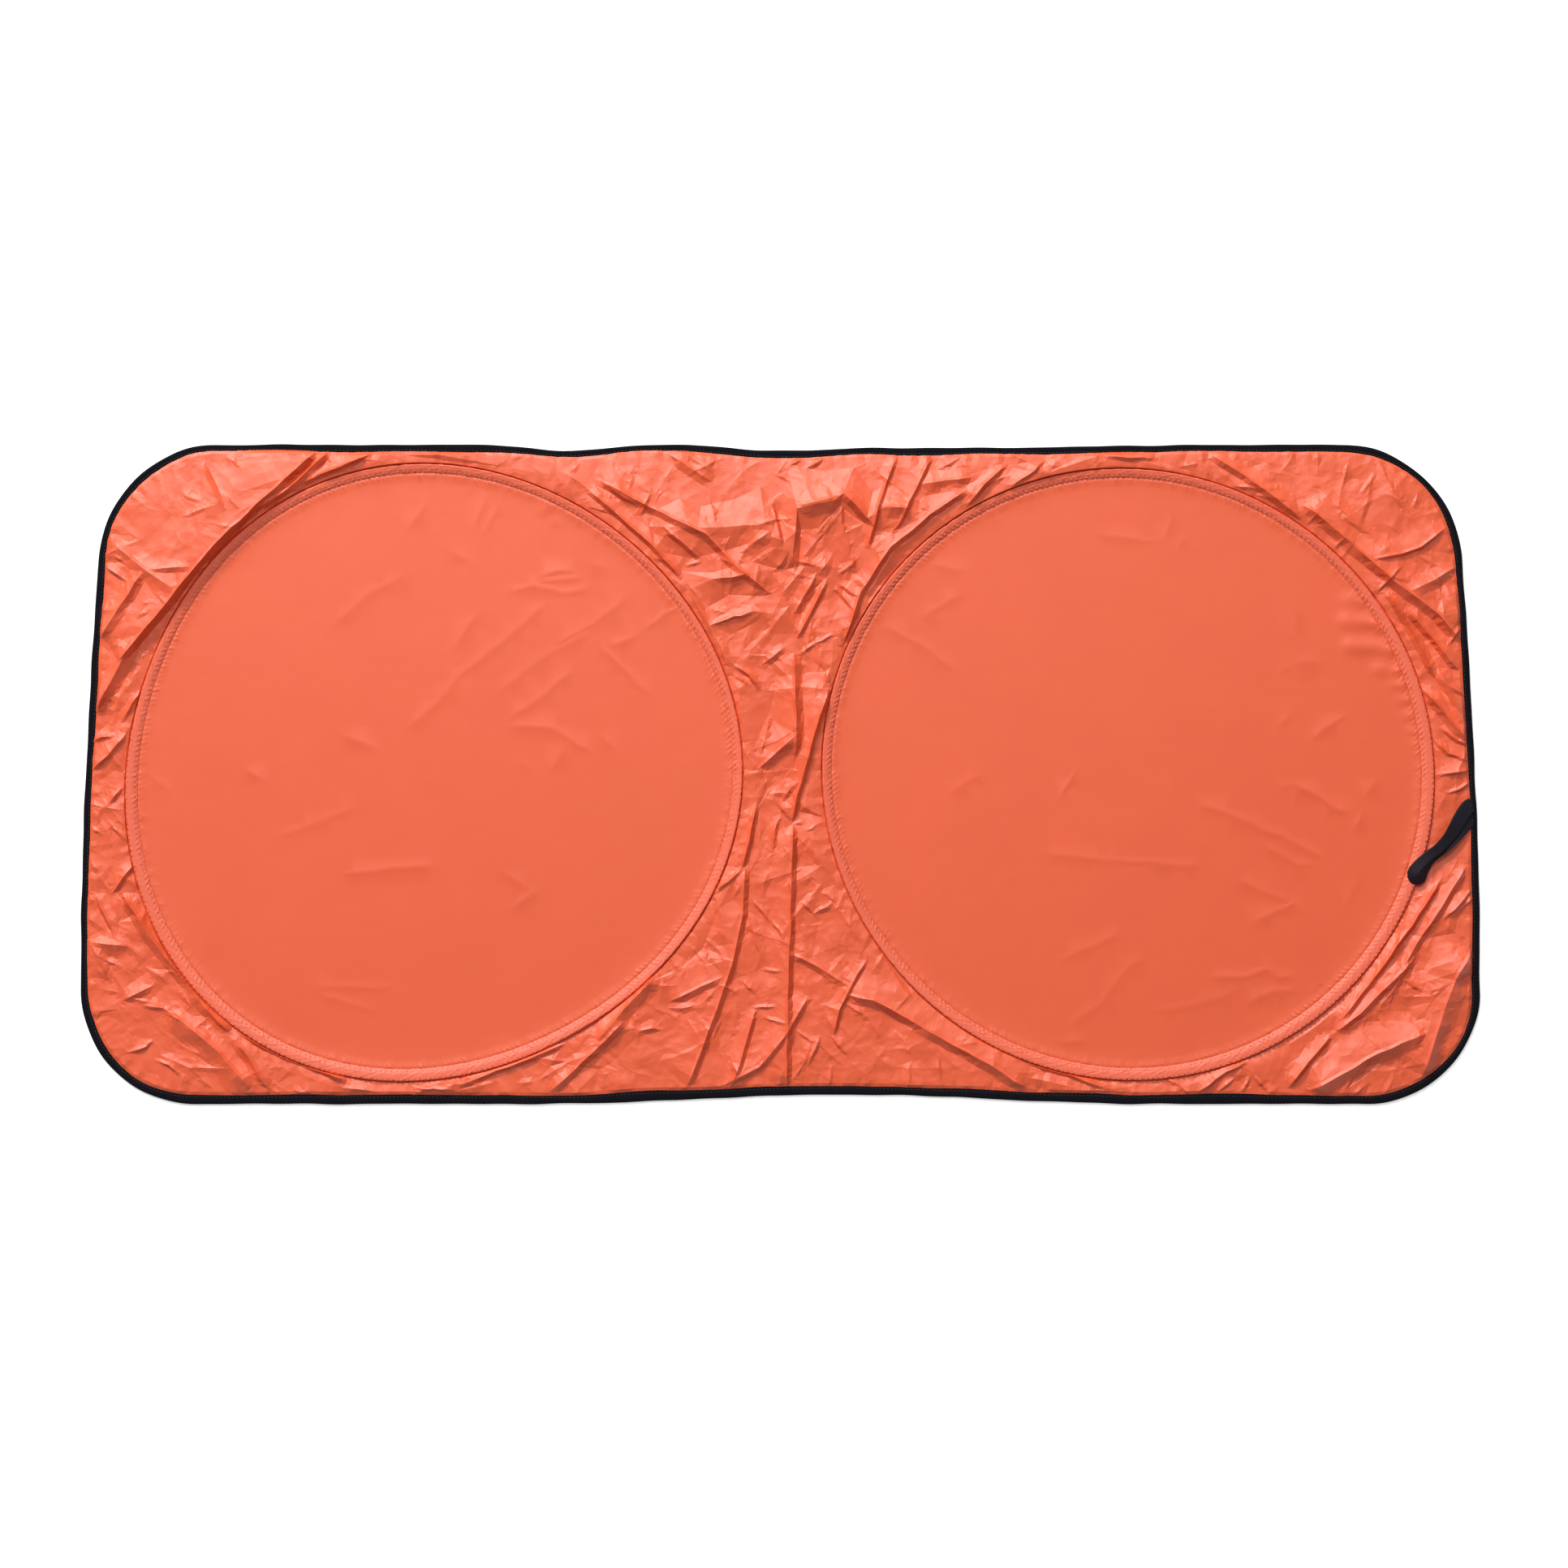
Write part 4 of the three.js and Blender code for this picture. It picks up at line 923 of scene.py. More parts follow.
def lay_runs(runs, least_outside, least_room, inner=False):
    every = np.vstack(runs)
    outside, _, _ = hoop_room(every)
    room, _ = edge_room(every)
    good = (outside > least_outside) & (room > least_room)
    if inner:
        good = outside < -least_outside
    start = 0
    for run in runs:
        part = []
        for point, keep in zip(run, good[start:start + len(run)]):
            if keep:
                part.append(point)
                continue
            if len(part) > 1:
                add_line(part)
            part = []
        if len(part) > 1:
            add_line(part)
        start += len(run)


print("the first main crest takes", len(dense(fold_lines[0], 5)), "points, 5 mm apart")

# %% [markdown]
# The rim, the seams and the listed creases are laid first, then the small creases, the hair creases,
# the tape's inner edge and the facets' edges. Crests carry closer points than the feet of their
# slopes, and rows beside each seam keep the teeth sharp. Creases stop short of the casings.

# %% Lay the rim, the seams and the creases
RIM_STEP = 6.0
RIM_INSET = 1.1
RING_POINTS = 1200
SEAM_POINTS = 620
CASING_POINTS = 1050
CASING_ROW = 1.4
OUTER_ROWS = ((1.6, 700), (4.0, 500))  # distance from the margin's seam, points in the row
INNER_ROWS = ((3.0, 1050), (5.0, 1050), (7.5, 650), (11.0, 400))  # the same from the casing's edge
CREST_STEP = 5.6
FOOT_STEP = 6.5
TENSION_STEP = 5.5
HAIR_STEP = 3.5
HAIR_FOOT_STEP = 4.0
FACET_EDGE_STEP = 6.0
HEM_INSETS = (-1.2, 1.2, 3.4)
rim_line, _, _ = resample(edge_line - edge_out * RIM_INSET, RIM_STEP)
add_line(list(rim_line), closed=True)
for index, hoop in enumerate(HOOPS):
    ring = hoop_line(hoop, RING_POINTS)
    ring_out = outward(ring)
    turned = np.linspace(0, hoop_around, RING_POINTS, endpoint=False)
    seam = from_table(SEAMS_OUT, turned, np.full(RING_POINTS, index))[:, None]
    under_edge = -casing_half - CASING_ROW
    sewn = ((seam, SEAM_POINTS), (-casing_half, CASING_POINTS), (under_edge, CASING_POINTS))
    for distance, count in sewn:
        add_line(list(resample(ring + ring_out * distance, hoop_around / count)[0]), closed=True)
    for distance, count in OUTER_ROWS:
        plan.extend(resample(ring + ring_out * (seam + distance), hoop_around / count)[0])
    for distance, count in INNER_ROWS:
        plan.extend(resample(ring - ring_out * (casing_half + distance), hoop_around / count)[0])
creases = []
for fold, line in list(zip(MAIN_FOLDS, fold_lines)) + list(zip(FINE_FOLDS, fine_lines)):
    creases.append(dense(line, CREST_STEP))
    creases.append(dense(shifted(line, steep_side(fold[2])), FOOT_STEP))
    creases.append(dense(shifted(line, -PINCH_WIDTH), FOOT_STEP))
lay_runs(creases, casing_half + 0.8, 3)
lay_runs([dense(line, TENSION_STEP) for line in tension_lines], casing_half + 1.0, 5)
discs = [dense(line, HAIR_STEP) for line in wrinkle_lines]
for fold, line in zip(WRINKLES, wrinkle_lines):
    discs.append(dense(shifted(line, fold[1] * HAIR_WIDTH), HAIR_FOOT_STEP))
    discs.append(dense(shifted(line, -fold[1] * HAIR_WIDTH), HAIR_FOOT_STEP))
lay_runs(discs, casing_half + 5, 0, inner=True)
tape_edge = tape_width(edge_places)
for inset in HEM_INSETS:
    hem_line = edge_line - edge_out * (tape_edge + inset)[:, None]
    add_line(list(hem_line), closed=True)
facet_runs = [dense(facet_points[list(edge)], FACET_EDGE_STEP) for edge in facet_edges]
lay_runs(facet_runs, casing_half + 1.5, 4)
print(len(plan), "points on", len(lines), "crease steps")

# %% [markdown]
# A jittered grid of even triangles fills what the lines leave. It is sparse on the taut discs, full
# where a ripple crosses them, and keeps off the points that are already laid. The whole sheet stays
# under 200,000 triangles.

# %% Fill and join them
GRID_STEP = 5.7
GRID_JITTER = 0.5
GRID_ROOM = (3, 4, 3)  # from the rim, outside the casing, inside it
SPARSE_EVERY = 3
SPARSE_FROM = 14
CELL_SIZE = 4
LEAST_GAP = 2.8
MERGE_DISTANCE = 0.02
grid = []
for index, row in enumerate(np.arange(-half_height, half_height, GRID_STEP * ROW_SHARE)):
    columns = np.arange(-half_width, half_width, GRID_STEP) + (index % 2) * GRID_STEP / 2
    grid.append(np.column_stack([columns, np.full(len(columns), row)]))
grid = np.vstack(grid)
grid += chance.uniform(-GRID_JITTER, GRID_JITTER, grid.shape)
room, _ = edge_room(grid)
outside, _, _ = hoop_room(grid)
disc_grid = np.round(grid / GRID_STEP).astype(int)
sparse = (np.mod(disc_grid, SPARSE_EVERY) == 0).all(axis=1) & (outside < -casing_half - SPARSE_FROM)
rippled = (soft_pile(RIPPLES, ripple_lines, grid) > 0) & (outside < -casing_half - GRID_ROOM[2])
grid = grid[(room > GRID_ROOM[0]) & ((outside > casing_half + GRID_ROOM[1]) | sparse | rippled)]
taken = {}
for x, y in plan:
    taken.setdefault((int(x // CELL_SIZE), int(y // CELL_SIZE)), []).append((x, y))


def crowded(x, y):
    cell_x = int(x // CELL_SIZE)
    cell_y = int(y // CELL_SIZE)
    for i in (-1, 0, 1):
        for j in (-1, 0, 1):
            for px, py in taken.get((cell_x + i, cell_y + j), ()):
                if (px - x) ** 2 + (py - y) ** 2 < LEAST_GAP * LEAST_GAP:
                    return True
    return False


plan.extend(point for point in grid if not crowded(*point))
joined = delaunay_2d_cdt([Vector(point) for point in plan], lines, [], 0, MERGE_DISTANCE, False)
sheet_plan = np.array([tuple(point) for point in joined[0]])
sheet_faces = np.array(joined[2])
middles = sheet_plan[sheet_faces].mean(axis=1)
inside_rim, _ = edge_room(middles, rim_line)
sheet_faces = sheet_faces[inside_rim > 0]
print(len(sheet_plan), "points,", len(sheet_faces), "triangles on the face")

# %% [markdown]
# The plan is raised to its height, doubled for the cloth's thickness and closed round the rim, so
# the sheet is a true solid of cloth with an orange front and a silver back.

# %% Raise the sheet and close it
sheet_low, looseness = sheet_height(sheet_plan)
used = np.unique(sheet_faces)
number = np.full(len(sheet_plan), -1)
number[used] = np.arange(len(used))
sheet_faces = number[sheet_faces]
a, b, c = (sheet_plan[used][sheet_faces[:, corner]] for corner in range(3))
turn = (b[:, 0] - a[:, 0]) * (c[:, 1] - a[:, 1]) - (b[:, 1] - a[:, 1]) * (c[:, 0] - a[:, 0])
sheet_faces[turn < 0] = sheet_faces[turn < 0][:, ::-1]
under = np.column_stack([sheet_plan[used], sheet_low[used]])
upper = under + np.array([0, 0, CLOTH])
count = len(used)
directed = {}
for face in sheet_faces:
    for corner in range(3):
        directed[(face[corner], face[(corner + 1) % 3])] = True
rim_steps = [pair for pair in directed if (pair[1], pair[0]) not in directed]
faces = [tuple(face) for face in sheet_faces]
faces += [(face[0] + count, face[2] + count, face[1] + count) for face in sheet_faces]
for first, second in rim_steps:
    faces.append((first, first + count, second + count, second))
faces = [tuple(int(corner) for corner in face) for face in faces]
sheet = mesh_piece("crumpled_sheet", np.vstack([upper, under]), faces)
back_face = np.zeros(len(faces), dtype=int)
back_face[len(sheet_faces):2 * len(sheet_faces)] = 1
sheet.data.polygons.foreach_set("material_index", back_face)
add_uv(sheet, np.vstack([upper[:, :2], under[:, :2]]))
loose_layer = sheet.data.attributes.new("looseness", "FLOAT", "POINT")
loose_layer.data.foreach_set("value", np.concatenate([looseness[used], looseness[used]]))
print("highest fold:", round(float(upper[:, 2].max()), 1), "mm")

# %% [markdown]
# The casing is a strip of the same cloth, sewn down along both edges over the wire. It is carried
# round the hoop as a closed section that arches over the wire. Between two stitches each edge puffs
# up, and slanting wrinkles cross the arch, because the strip is cut on the bias to bend. Where the
# margin laps over it, its outer half is narrowed by the same share.

# %% Hoop casings
CASING_STEP = 1.25
SEAMS_AT = (-4.4, 5.2)
CASING_WAVES = (40, 50)
CASING_SLANT = 0.9
CASING_THICK = 0.75
FRAYED = 0.25
WRINKLE_HEIGHT = 0.14
WRINKLE_SLANT = 2.2
INNER_PUFF = (0.8, 4.0, 2.8)  # height, distance from the wire, reach
OUTER_PUFF = (0.5, 4.9, 1.6)
CASING_SHAPE = np.array([  # across from the wire, height
    (-6.7, 0.85), (-6.3, 1.05), (-5.6, 1.25), (-4.8, 1.6), (-4.0, 2.0), (-3.1, 2.5), (-2.2, 2.95),
    (-1.2, 3.3), (0.0, 3.55), (1.4, 3.75), (2.8, 3.85), (4.2, 3.85), (5.4, 3.6), (6.3, 2.8),
    (6.9, 1.3), (7.0, 0.2)])
CASING_UNDER = np.array([-6.2, -4.3, -2.2, 0, 2.2, 4.3, 6.6])


def casing_height(across, places, whole, seed):
    ridge = np.interp(across, CASING_SHAPE[:, 0], CASING_SHAPE[:, 1])
    slant = places - CASING_SLANT * across
    wrinkle = WRINKLE_HEIGHT * uneven(places + WRINKLE_SLANT * across, whole, (7, 12), seed)
    pitch = whole / round(whole / STITCH_PITCH)
    size = np.clip(0.8 + 0.4 * uneven(places, whole, (18, 40), seed + 1), 0.15, 1.6)
    beat = size * (0.5 - 0.5 * np.cos(2 * math.pi * slant / pitch))
    inner_puff = INNER_PUFF[0] * beat * np.exp(-((across + INNER_PUFF[1]) / INNER_PUFF[2]) ** 2)
    outer_puff = OUTER_PUFF[0] * beat * np.exp(-((across - OUTER_PUFF[1]) / OUTER_PUFF[2]) ** 2)
    return CLOTH + ridge + wrinkle * np.clip(ridge / 3, 0, 1) + inner_puff + outer_puff


def outer_share(hoop, line):
    offset = line - np.array([hoop["x"], HOOP_LIFT])
    around = np.mod(np.arctan2(offset[:, 1], offset[:, 0]), 2 * math.pi) * HOOP_RADIUS
    return from_table(SEAMS_OUT, around, np.full(len(line), HOOPS.index(hoop))) / casing_half


def make_casing(hoop, seed):
    line, places, whole = resample(hoop_line(hoop, 1800), CASING_STEP)
    out = outward(line)
    narrowed = outer_share(hoop, line)
    top = CASING_SHAPE[::-1, 0]
    bottom = CASING_UNDER
    frayed = FRAYED * uneven(places, whole, (6, 17), seed + 5)
    vertices = []
    for index in range(len(line)):
        place = places[index]
        high = casing_height(top, place, whole, seed)
        high[0] = CLOTH + 0.15
        high[-1] = CLOTH + BAND_RISE + 0.1
        base = CLOTH + 0.03 + BAND_RISE * np.clip((casing_half - bottom) / CASING_WIDTH, 0, 1)
        low = np.maximum(casing_height(bottom, place, whole, seed) - CASING_THICK, base)
        low[[0, 1, -1]] = base[[0, 1, -1]]
        section = np.concatenate([top * (1 + frayed[index] / casing_half), bottom])
        section = np.where(section > 0, section * narrowed[index], section)
        heights = np.concatenate([high, low])
        spots = line[index] + out[index] * section[:, None]
        vertices.append(np.column_stack([spots, heights]))
    columns = len(top) + len(bottom)
    piece = mesh_piece(hoop["side"] + "_casing", np.vstack(vertices), band_faces(len(line), columns))
    across = np.concatenate([top, bottom])
    uv = np.column_stack([np.repeat(places, columns), np.tile(across, len(line))])
    add_uv(piece, uv)
    return piece


casings = [make_casing(hoop, seed) for hoop, seed in zip(HOOPS, CASING_WAVES)]
print("casings:", [len(casing.data.polygons) for casing in casings], "faces")

# %% [markdown]
# Each stitch is a short thread lying in the cloth between two needle holes. One low bead with
# rounded ends is modelled and copied along the seams, turned to follow each one.

# %% Stitches along a seam
CASING_THREAD = (3.4, 0.8)  # length, thickness
BINDING_THREAD = (2.9, 0.5)
BEAD_SIDES = 5
BEAD_RINGS = [  # along, girth, lift
    (-1.0, 0.25, -0.3), (-0.7, 0.8, 0.15), (0.0, 1.0, 0.3), (0.7, 0.8, 0.15), (1.0, 0.25, -0.3)]


def stitch_rows(name, seams):
    sides = BEAD_SIDES
    rings = BEAD_RINGS
    vertices = []
    faces = []
    for points, ahead, heights, length, thick in seams:
        side = np.column_stack([-ahead[:, 1], ahead[:, 0]])
        for spot, way, across, height in zip(points, ahead, side, heights):
            base = len(vertices)
            for along, girth, lift in rings:
                for turn_index in range(sides):
                    angle = 2 * math.pi * turn_index / sides
                    flat = spot + way * along * length / 2 + across * math.cos(angle) * thick / 2 * girth
                    up = height + lift * thick + math.sin(angle) * thick / 2 * girth
                    vertices.append((flat[0], flat[1], up))
            for ring_index in range(len(rings) - 1):
                for turn_index in range(sides):
                    here = base + ring_index * sides + turn_index
                    beside = base + ring_index * sides + (turn_index + 1) % sides
                    faces.append((here, here + sides, beside + sides, beside))
            faces.append(tuple(base + turn_index for turn_index in range(sides)))
            last = base + (len(rings) - 1) * sides
            faces.append(tuple(last + turn_index for turn_index in reversed(range(sides))))
    return mesh_piece(name, np.array(vertices), faces)


def casing_seams(hoop, seed):
    seams = []
    line, places, whole = resample(hoop_line(hoop, 1800), CASING_STEP)
    steps = int(round(whole / STITCH_PITCH))
    at = (np.arange(steps) * STITCH_PITCH / CASING_STEP).astype(int) % len(line)
    out = outward(line)
    narrowed = outer_share(hoop, line)
    for across in SEAMS_AT:
        shown = at if across < 0 else at[narrowed[at] > 0.8]
        offset = across if across < 0 else across * narrowed[shown][:, None]
        ahead = np.column_stack([-out[shown][:, 1], out[shown][:, 0]])
        heights = np.array([float(casing_height(across, places[index], whole, seed)) for index in shown])
        seams.append((line[shown] + out[shown] * offset, ahead, heights + 0.1, *CASING_THREAD))
    return seams


threads = [stitch_rows(hoop["side"] + "_casing_stitches", casing_seams(hoop, seed))
           for hoop, seed in zip(HOOPS, CASING_WAVES)]
print("faces of the thread on the casings:", [len(thread.data.polygons) for thread in threads])

# %% [markdown]
# The binding is woven tape folded over the rim. Its section is a U that opens inwards. The tape is
# pulled in along its stitch line and puffs between, and its width wanders by a millimetre or two.

# %% Edge binding
TAPE_SECTION = [  # share of the tape's width, height
    (-1.0, 1.75), (-0.93, 2.2), (-0.84, 2.2), (-0.74, 2.02), (-0.62, 2.3), (-0.42, 2.42),
    (-0.22, 2.36), (-0.09, 2.1), (-0.02, 1.65), (0.0, 1.15), (-0.02, 0.62), (-0.09, 0.18),
    (-0.25, 0.0), (-0.6, 0.0), (-1.0, 0.0), (-1.0, 0.55), (-0.5, 0.7), (-0.16, 0.85),
    (-0.16, 1.5), (-0.5, 1.6), (-1.0, 1.6)]
TAPE_FACE = 2.0  # what lies higher than this is the tape's upper face
TAPE_GIRTH_STEP = 1.1
SEAM_SHARE = 0.76
SEAM_HEIGHT = 2.25


def make_binding():
    tape = tape_width(edge_places)
    swell = 0.18 * uneven(edge_places, edge_length, (9, 14), 71)
    sway = 0.35 * uneven(edge_places, edge_length, (70, 140), 72)
    puff = 0.12 * (1 + np.cos(2 * math.pi * edge_places / BINDING_PITCH))
    shares = TAPE_SECTION
    vertices = []
    for index in range(len(edge_line)):
        for share, height in shares:
            out = share * tape[index] + sway[index]
            lift = 0.0
            if height > TAPE_FACE:
                lift = swell[index] + puff[index] * (1 if share > -0.8 else 0.5)
            spot = edge_line[index] + edge_out[index] * out
            vertices.append((spot[0], spot[1], height + lift))
    piece = mesh_piece("bound_edge", np.array(vertices), band_faces(len(edge_line), len(shares)))
    girth = np.concatenate([[0], np.cumsum(np.full(len(shares) - 1, TAPE_GIRTH_STEP))])
    uv = np.column_stack([np.repeat(edge_places, len(shares)), np.tile(girth, len(edge_line))])
    add_uv(piece, uv)
    return piece


binding = make_binding()
tape = tape_width(edge_places)
seam_line = edge_line - edge_out * (tape * SEAM_SHARE)[:, None]
seam_steps = int(edge_length / BINDING_PITCH)
seam_places = np.arange(seam_steps) * edge_length / seam_steps


def along_edge(values):
    return np.interp(seam_places, edge_places, values, period=edge_length)


seam_spots = np.column_stack([along_edge(seam_line[:, 0]), along_edge(seam_line[:, 1])])
seam_ahead = np.column_stack([-along_edge(edge_out[:, 1]), along_edge(edge_out[:, 0])])
binding_seam = (seam_spots, seam_ahead, np.full(seam_steps, SEAM_HEIGHT), *BINDING_THREAD)
binding_thread = stitch_rows("binding_stitches", [binding_seam])
print(seam_steps, "stitches round the binding")

# %% [markdown]
# The storage strap is a loop of flat knitted elastic, both ends sewn to the binding. It lies half
# twisted, so each station along it has a place, a direction and a roll about that direction.

# %% Route of the strap
STRAP_WIDTH = 13.5
STRAP_THICK = 1.3
STRAP_ROUTE = [  # X from the shade's right end, Y, height, roll in degrees, share of the width
    (-7, -49.5, 1.5, 0, 1.0), (-11, -51, 2.6, 0, 1.0), (-17, -55.5, 4.0, 3, 1.0),
    (-27.5, -67, 5.6, 16, 0.95), (-37.5, -77.5, 6.6, 26, 0.85), (-46, -84, 7.0, 12, 0.8),
    (-53, -90, 7.4, -14, 0.82), (-58.5, -97.5, 8.2, -32, 0.92), (-62.2, -105, 9.0, -38, 1.0),
    (-64.0, -109.6, 9.3, -38, 1.08), (-66.9, -112.2, 9.4, -38, 1.12), (-70.2, -111.8, 9.4, -38, 1.12),
    (-72.6, -108.8, 9.5, -38, 1.08), (-72.6, -104, 9.7, -36, 1.0), (-66.6, -96.4, 10.2, -26, 0.9),
    (-57, -87.6, 11.0, -8, 0.82), (-46, -79, 11.2, 6, 0.85), (-37, -69.5, 10.6, 14, 0.95),
    (-29, -58.5, 9.0, 12, 1.1), (-22, -46.5, 7.2, 8, 1.16), (-16, -38.5, 4.9, 4, 1.18),
    (-11.8, -34.5, 2.7, 0, 1.18), (-7.5, -32, 1.5, 0, 1.18),
]


def smooth_route(route, step=1.1):
    points = np.array(route, dtype=float)
    chord = np.concatenate([[0], np.cumsum(np.linalg.norm(np.diff(points[:, :3], axis=0), axis=1))])
    fine = np.arange(0, chord[-1], step)
    padded = np.vstack([2 * points[0] - points[1], points, 2 * points[-1] - points[-2]])
    result = []
    for place in fine:
        span = min(np.searchsorted(chord, place, side="right") - 1, len(points) - 2)
        share = (place - chord[span]) / (chord[span + 1] - chord[span])
        p0, p1, p2, p3 = padded[span:span + 4]
        square = (2 * p0 - 5 * p1 + 4 * p2 - p3) * share ** 2
        cube = (3 * p1 - p0 - 3 * p2 + p3) * share ** 3
        result.append(0.5 * (2 * p1 + (p2 - p0) * share + square + cube))
    return np.array(result), fine


strap_route, strap_places = smooth_route(STRAP_ROUTE)
print("the strap's route is", round(float(strap_places[-1])), "mm long")

# %% [markdown]
# The ribbon's section, a little thicker near both edges, is carried along that route. Each station
# is rolled about the direction of the route, and the two cut ends are closed.

# %% Storage strap
def make_strap():
    route, places = strap_route, strap_places
    centres = route[:, :3] + np.array([half_width, 0, 0])
    ahead = np.gradient(centres, axis=0)
    ahead /= np.linalg.norm(ahead, axis=1)[:, None]
    level = np.zeros_like(ahead)
    kept = None
    for index, way in enumerate(ahead):
        flat = np.array([-way[1], way[0], 0])
        if np.linalg.norm(flat) > 0.3 or kept is None:
            flat = flat / np.linalg.norm(flat)
            kept = flat if kept is None or flat @ kept > 0 else -flat
        level[index] = kept
    raised = np.cross(ahead, level)
    half = STRAP_WIDTH / 2
    thick = STRAP_THICK / 2
    section = [
        (half, 0), (half - 0.25, thick * 0.8), (half * 0.75, thick * 1.05), (half * 0.4, thick * 0.92),
        (0, thick), (-half * 0.4, thick * 0.92), (-half * 0.75, thick * 1.05),
        (-half + 0.25, thick * 0.8)]
    section += [(-across, -over) for across, over in section]
    vertices = []
    for index in range(len(centres)):
        roll = math.radians(route[index, 3])
        side = level[index] * math.cos(roll) + raised[index] * math.sin(roll)
        over = raised[index] * math.cos(roll) - level[index] * math.sin(roll)
        for across, up in section:
            vertices.append(centres[index] + side * across * route[index, 4] + over * up)
    columns = len(section)
    faces = []
    for row in range(len(centres) - 1):
        for column in range(columns):
            beside = (column + 1) % columns
            faces.append((row * columns + column, (row + 1) * columns + column,
                          (row + 1) * columns + beside, row * columns + beside))
    faces.append(tuple(range(columns)))
    last = (len(centres) - 1) * columns
    faces.append(tuple(last + column for column in reversed(range(columns))))
    piece = mesh_piece("elastic_loop", np.array(vertices), faces)
    across = np.array([part[0] for part in section])
    uv = np.column_stack([np.repeat(places, columns), np.tile(across, len(centres))])
    add_uv(piece, uv)
    print("strap", round(places[-1]), "mm round the loop, lowest", round(min(v[2] for v in vertices), 2))
    return piece


strap = make_strap()

# %% [markdown]
# Mesh code can leave a shape inside out. Each closed piece has its faces turned outwards here, by
# the sign of the volume that it encloses.

# %% Face every piece outwards
def enclosed(piece):
    mesh = piece.data
    mesh.calc_loop_triangles()
    corners = np.zeros(len(mesh.loop_triangles) * 3, dtype=int)
    mesh.loop_triangles.foreach_get("vertices", corners)
    places = np.zeros(len(mesh.vertices) * 3)
    mesh.vertices.foreach_get("co", places)
    a, b, c = places.reshape(-1, 3)[corners.reshape(-1, 3)].transpose(1, 0, 2)
    return float((a * np.cross(b, c)).sum() / 6)


for piece in [sheet, binding, binding_thread, strap] + casings + threads:
    if enclosed(piece) < 0:
        piece.data.flip_normals()
    print(piece.name, "encloses", round(enclosed(piece) * 1e6, 1), "cm3")

# %% [markdown]
# Coated cloth breaks the light at each crease, while the taut discs stay smooth. So the edges that
# turn by more than a few degrees are marked sharp where the cloth is loose, and nowhere else.

# %% Sharp creases
CREASE_ANGLE = 7
sheet.data.set_sharp_from_angle(angle=math.radians(CREASE_ANGLE))
creased = sheet.data.attributes["sharp_edge"]
sharp = np.zeros(len(sheet.data.edges), dtype=bool)
creased.data.foreach_get("value", sharp)
edge_ends = np.zeros(len(sheet.data.edges) * 2, dtype=int)
sheet.data.edges.foreach_get("vertices", edge_ends)
loose_ends = np.concatenate([looseness[used], looseness[used]])[edge_ends.reshape(-1, 2)].max(axis=1)
sharp &= loose_ends > 0
creased.data.foreach_set("value", sharp)
print(int(sharp.sum()), "creased edges of", len(sharp))

# %% [markdown]
# The cloth's look comes from three things: a plain weave with slightly uneven threads, fine dents
# between the modelled facets, and a soft satin gloss. The weave is used by every woven surface
# here, so it is a node group. It reads the piece's UV map, which is in metres along the threads.

# %% Node helpers
CLOTH_THREADS = 3200  # threads a metre


def new_material(name):
    material = bpy.data.materials.new(name)
    material.use_nodes = True
    shader = material.node_tree.nodes["Principled BSDF"]
    return material, material.node_tree.nodes, material.node_tree.links, shader


def add_node(nodes, kind, **settings):
    node = nodes.new(kind)
    for key, value in settings.items():
        setattr(node, key, value)
    return node


def maths(nodes, links, operation, first, second):
    node = add_node(nodes, "ShaderNodeMath", operation=operation)
    for socket, value in ((0, first), (1, second)):
        if isinstance(value, (int, float)):
            node.inputs[socket].default_value = value
        else:
            links.new(value, node.inputs[socket])
    return node.outputs[0]


def noise(nodes, links, vector, scale, detail=2.0, roughness=0.5):
    node = add_node(nodes, "ShaderNodeTexNoise")
    node.inputs["Scale"].default_value = scale
    node.inputs["Detail"].default_value = detail
    node.inputs["Roughness"].default_value = roughness
    links.new(vector, node.inputs["Vector"])
    return node.outputs["Fac"]


def stretched(nodes, links, vector, scale):
    node = add_node(nodes, "ShaderNodeVectorMath", operation="MULTIPLY")
    node.inputs[1].default_value = scale
    links.new(vector, node.inputs[0])
    return node.outputs[0]


print(CLOTH_THREADS, "threads a metre in the cloth")

# %% [markdown]
# Two sines at right angles give the ups and downs of a plain weave, and noise stretched along the
# threads both ways gives the slubs. The group hands on a height and a mask only.

# %% Node group: plain weave
SLUB_LENGTH = 12  # noise cells a metre along a thread
SLUB_WIDTH = 700
weave_group = bpy.data.node_groups.new("plain weave", "ShaderNodeTree")
weave_group.interface.new_socket("Vector", in_out="INPUT", socket_type="NodeSocketVector")
weave_group.interface.new_socket("Threads", in_out="INPUT", socket_type="NodeSocketFloat")
weave_group.interface.new_socket("Height", in_out="OUTPUT", socket_type="NodeSocketFloat")
weave_group.interface.new_socket("Slubs", in_out="OUTPUT", socket_type="NodeSocketFloat")


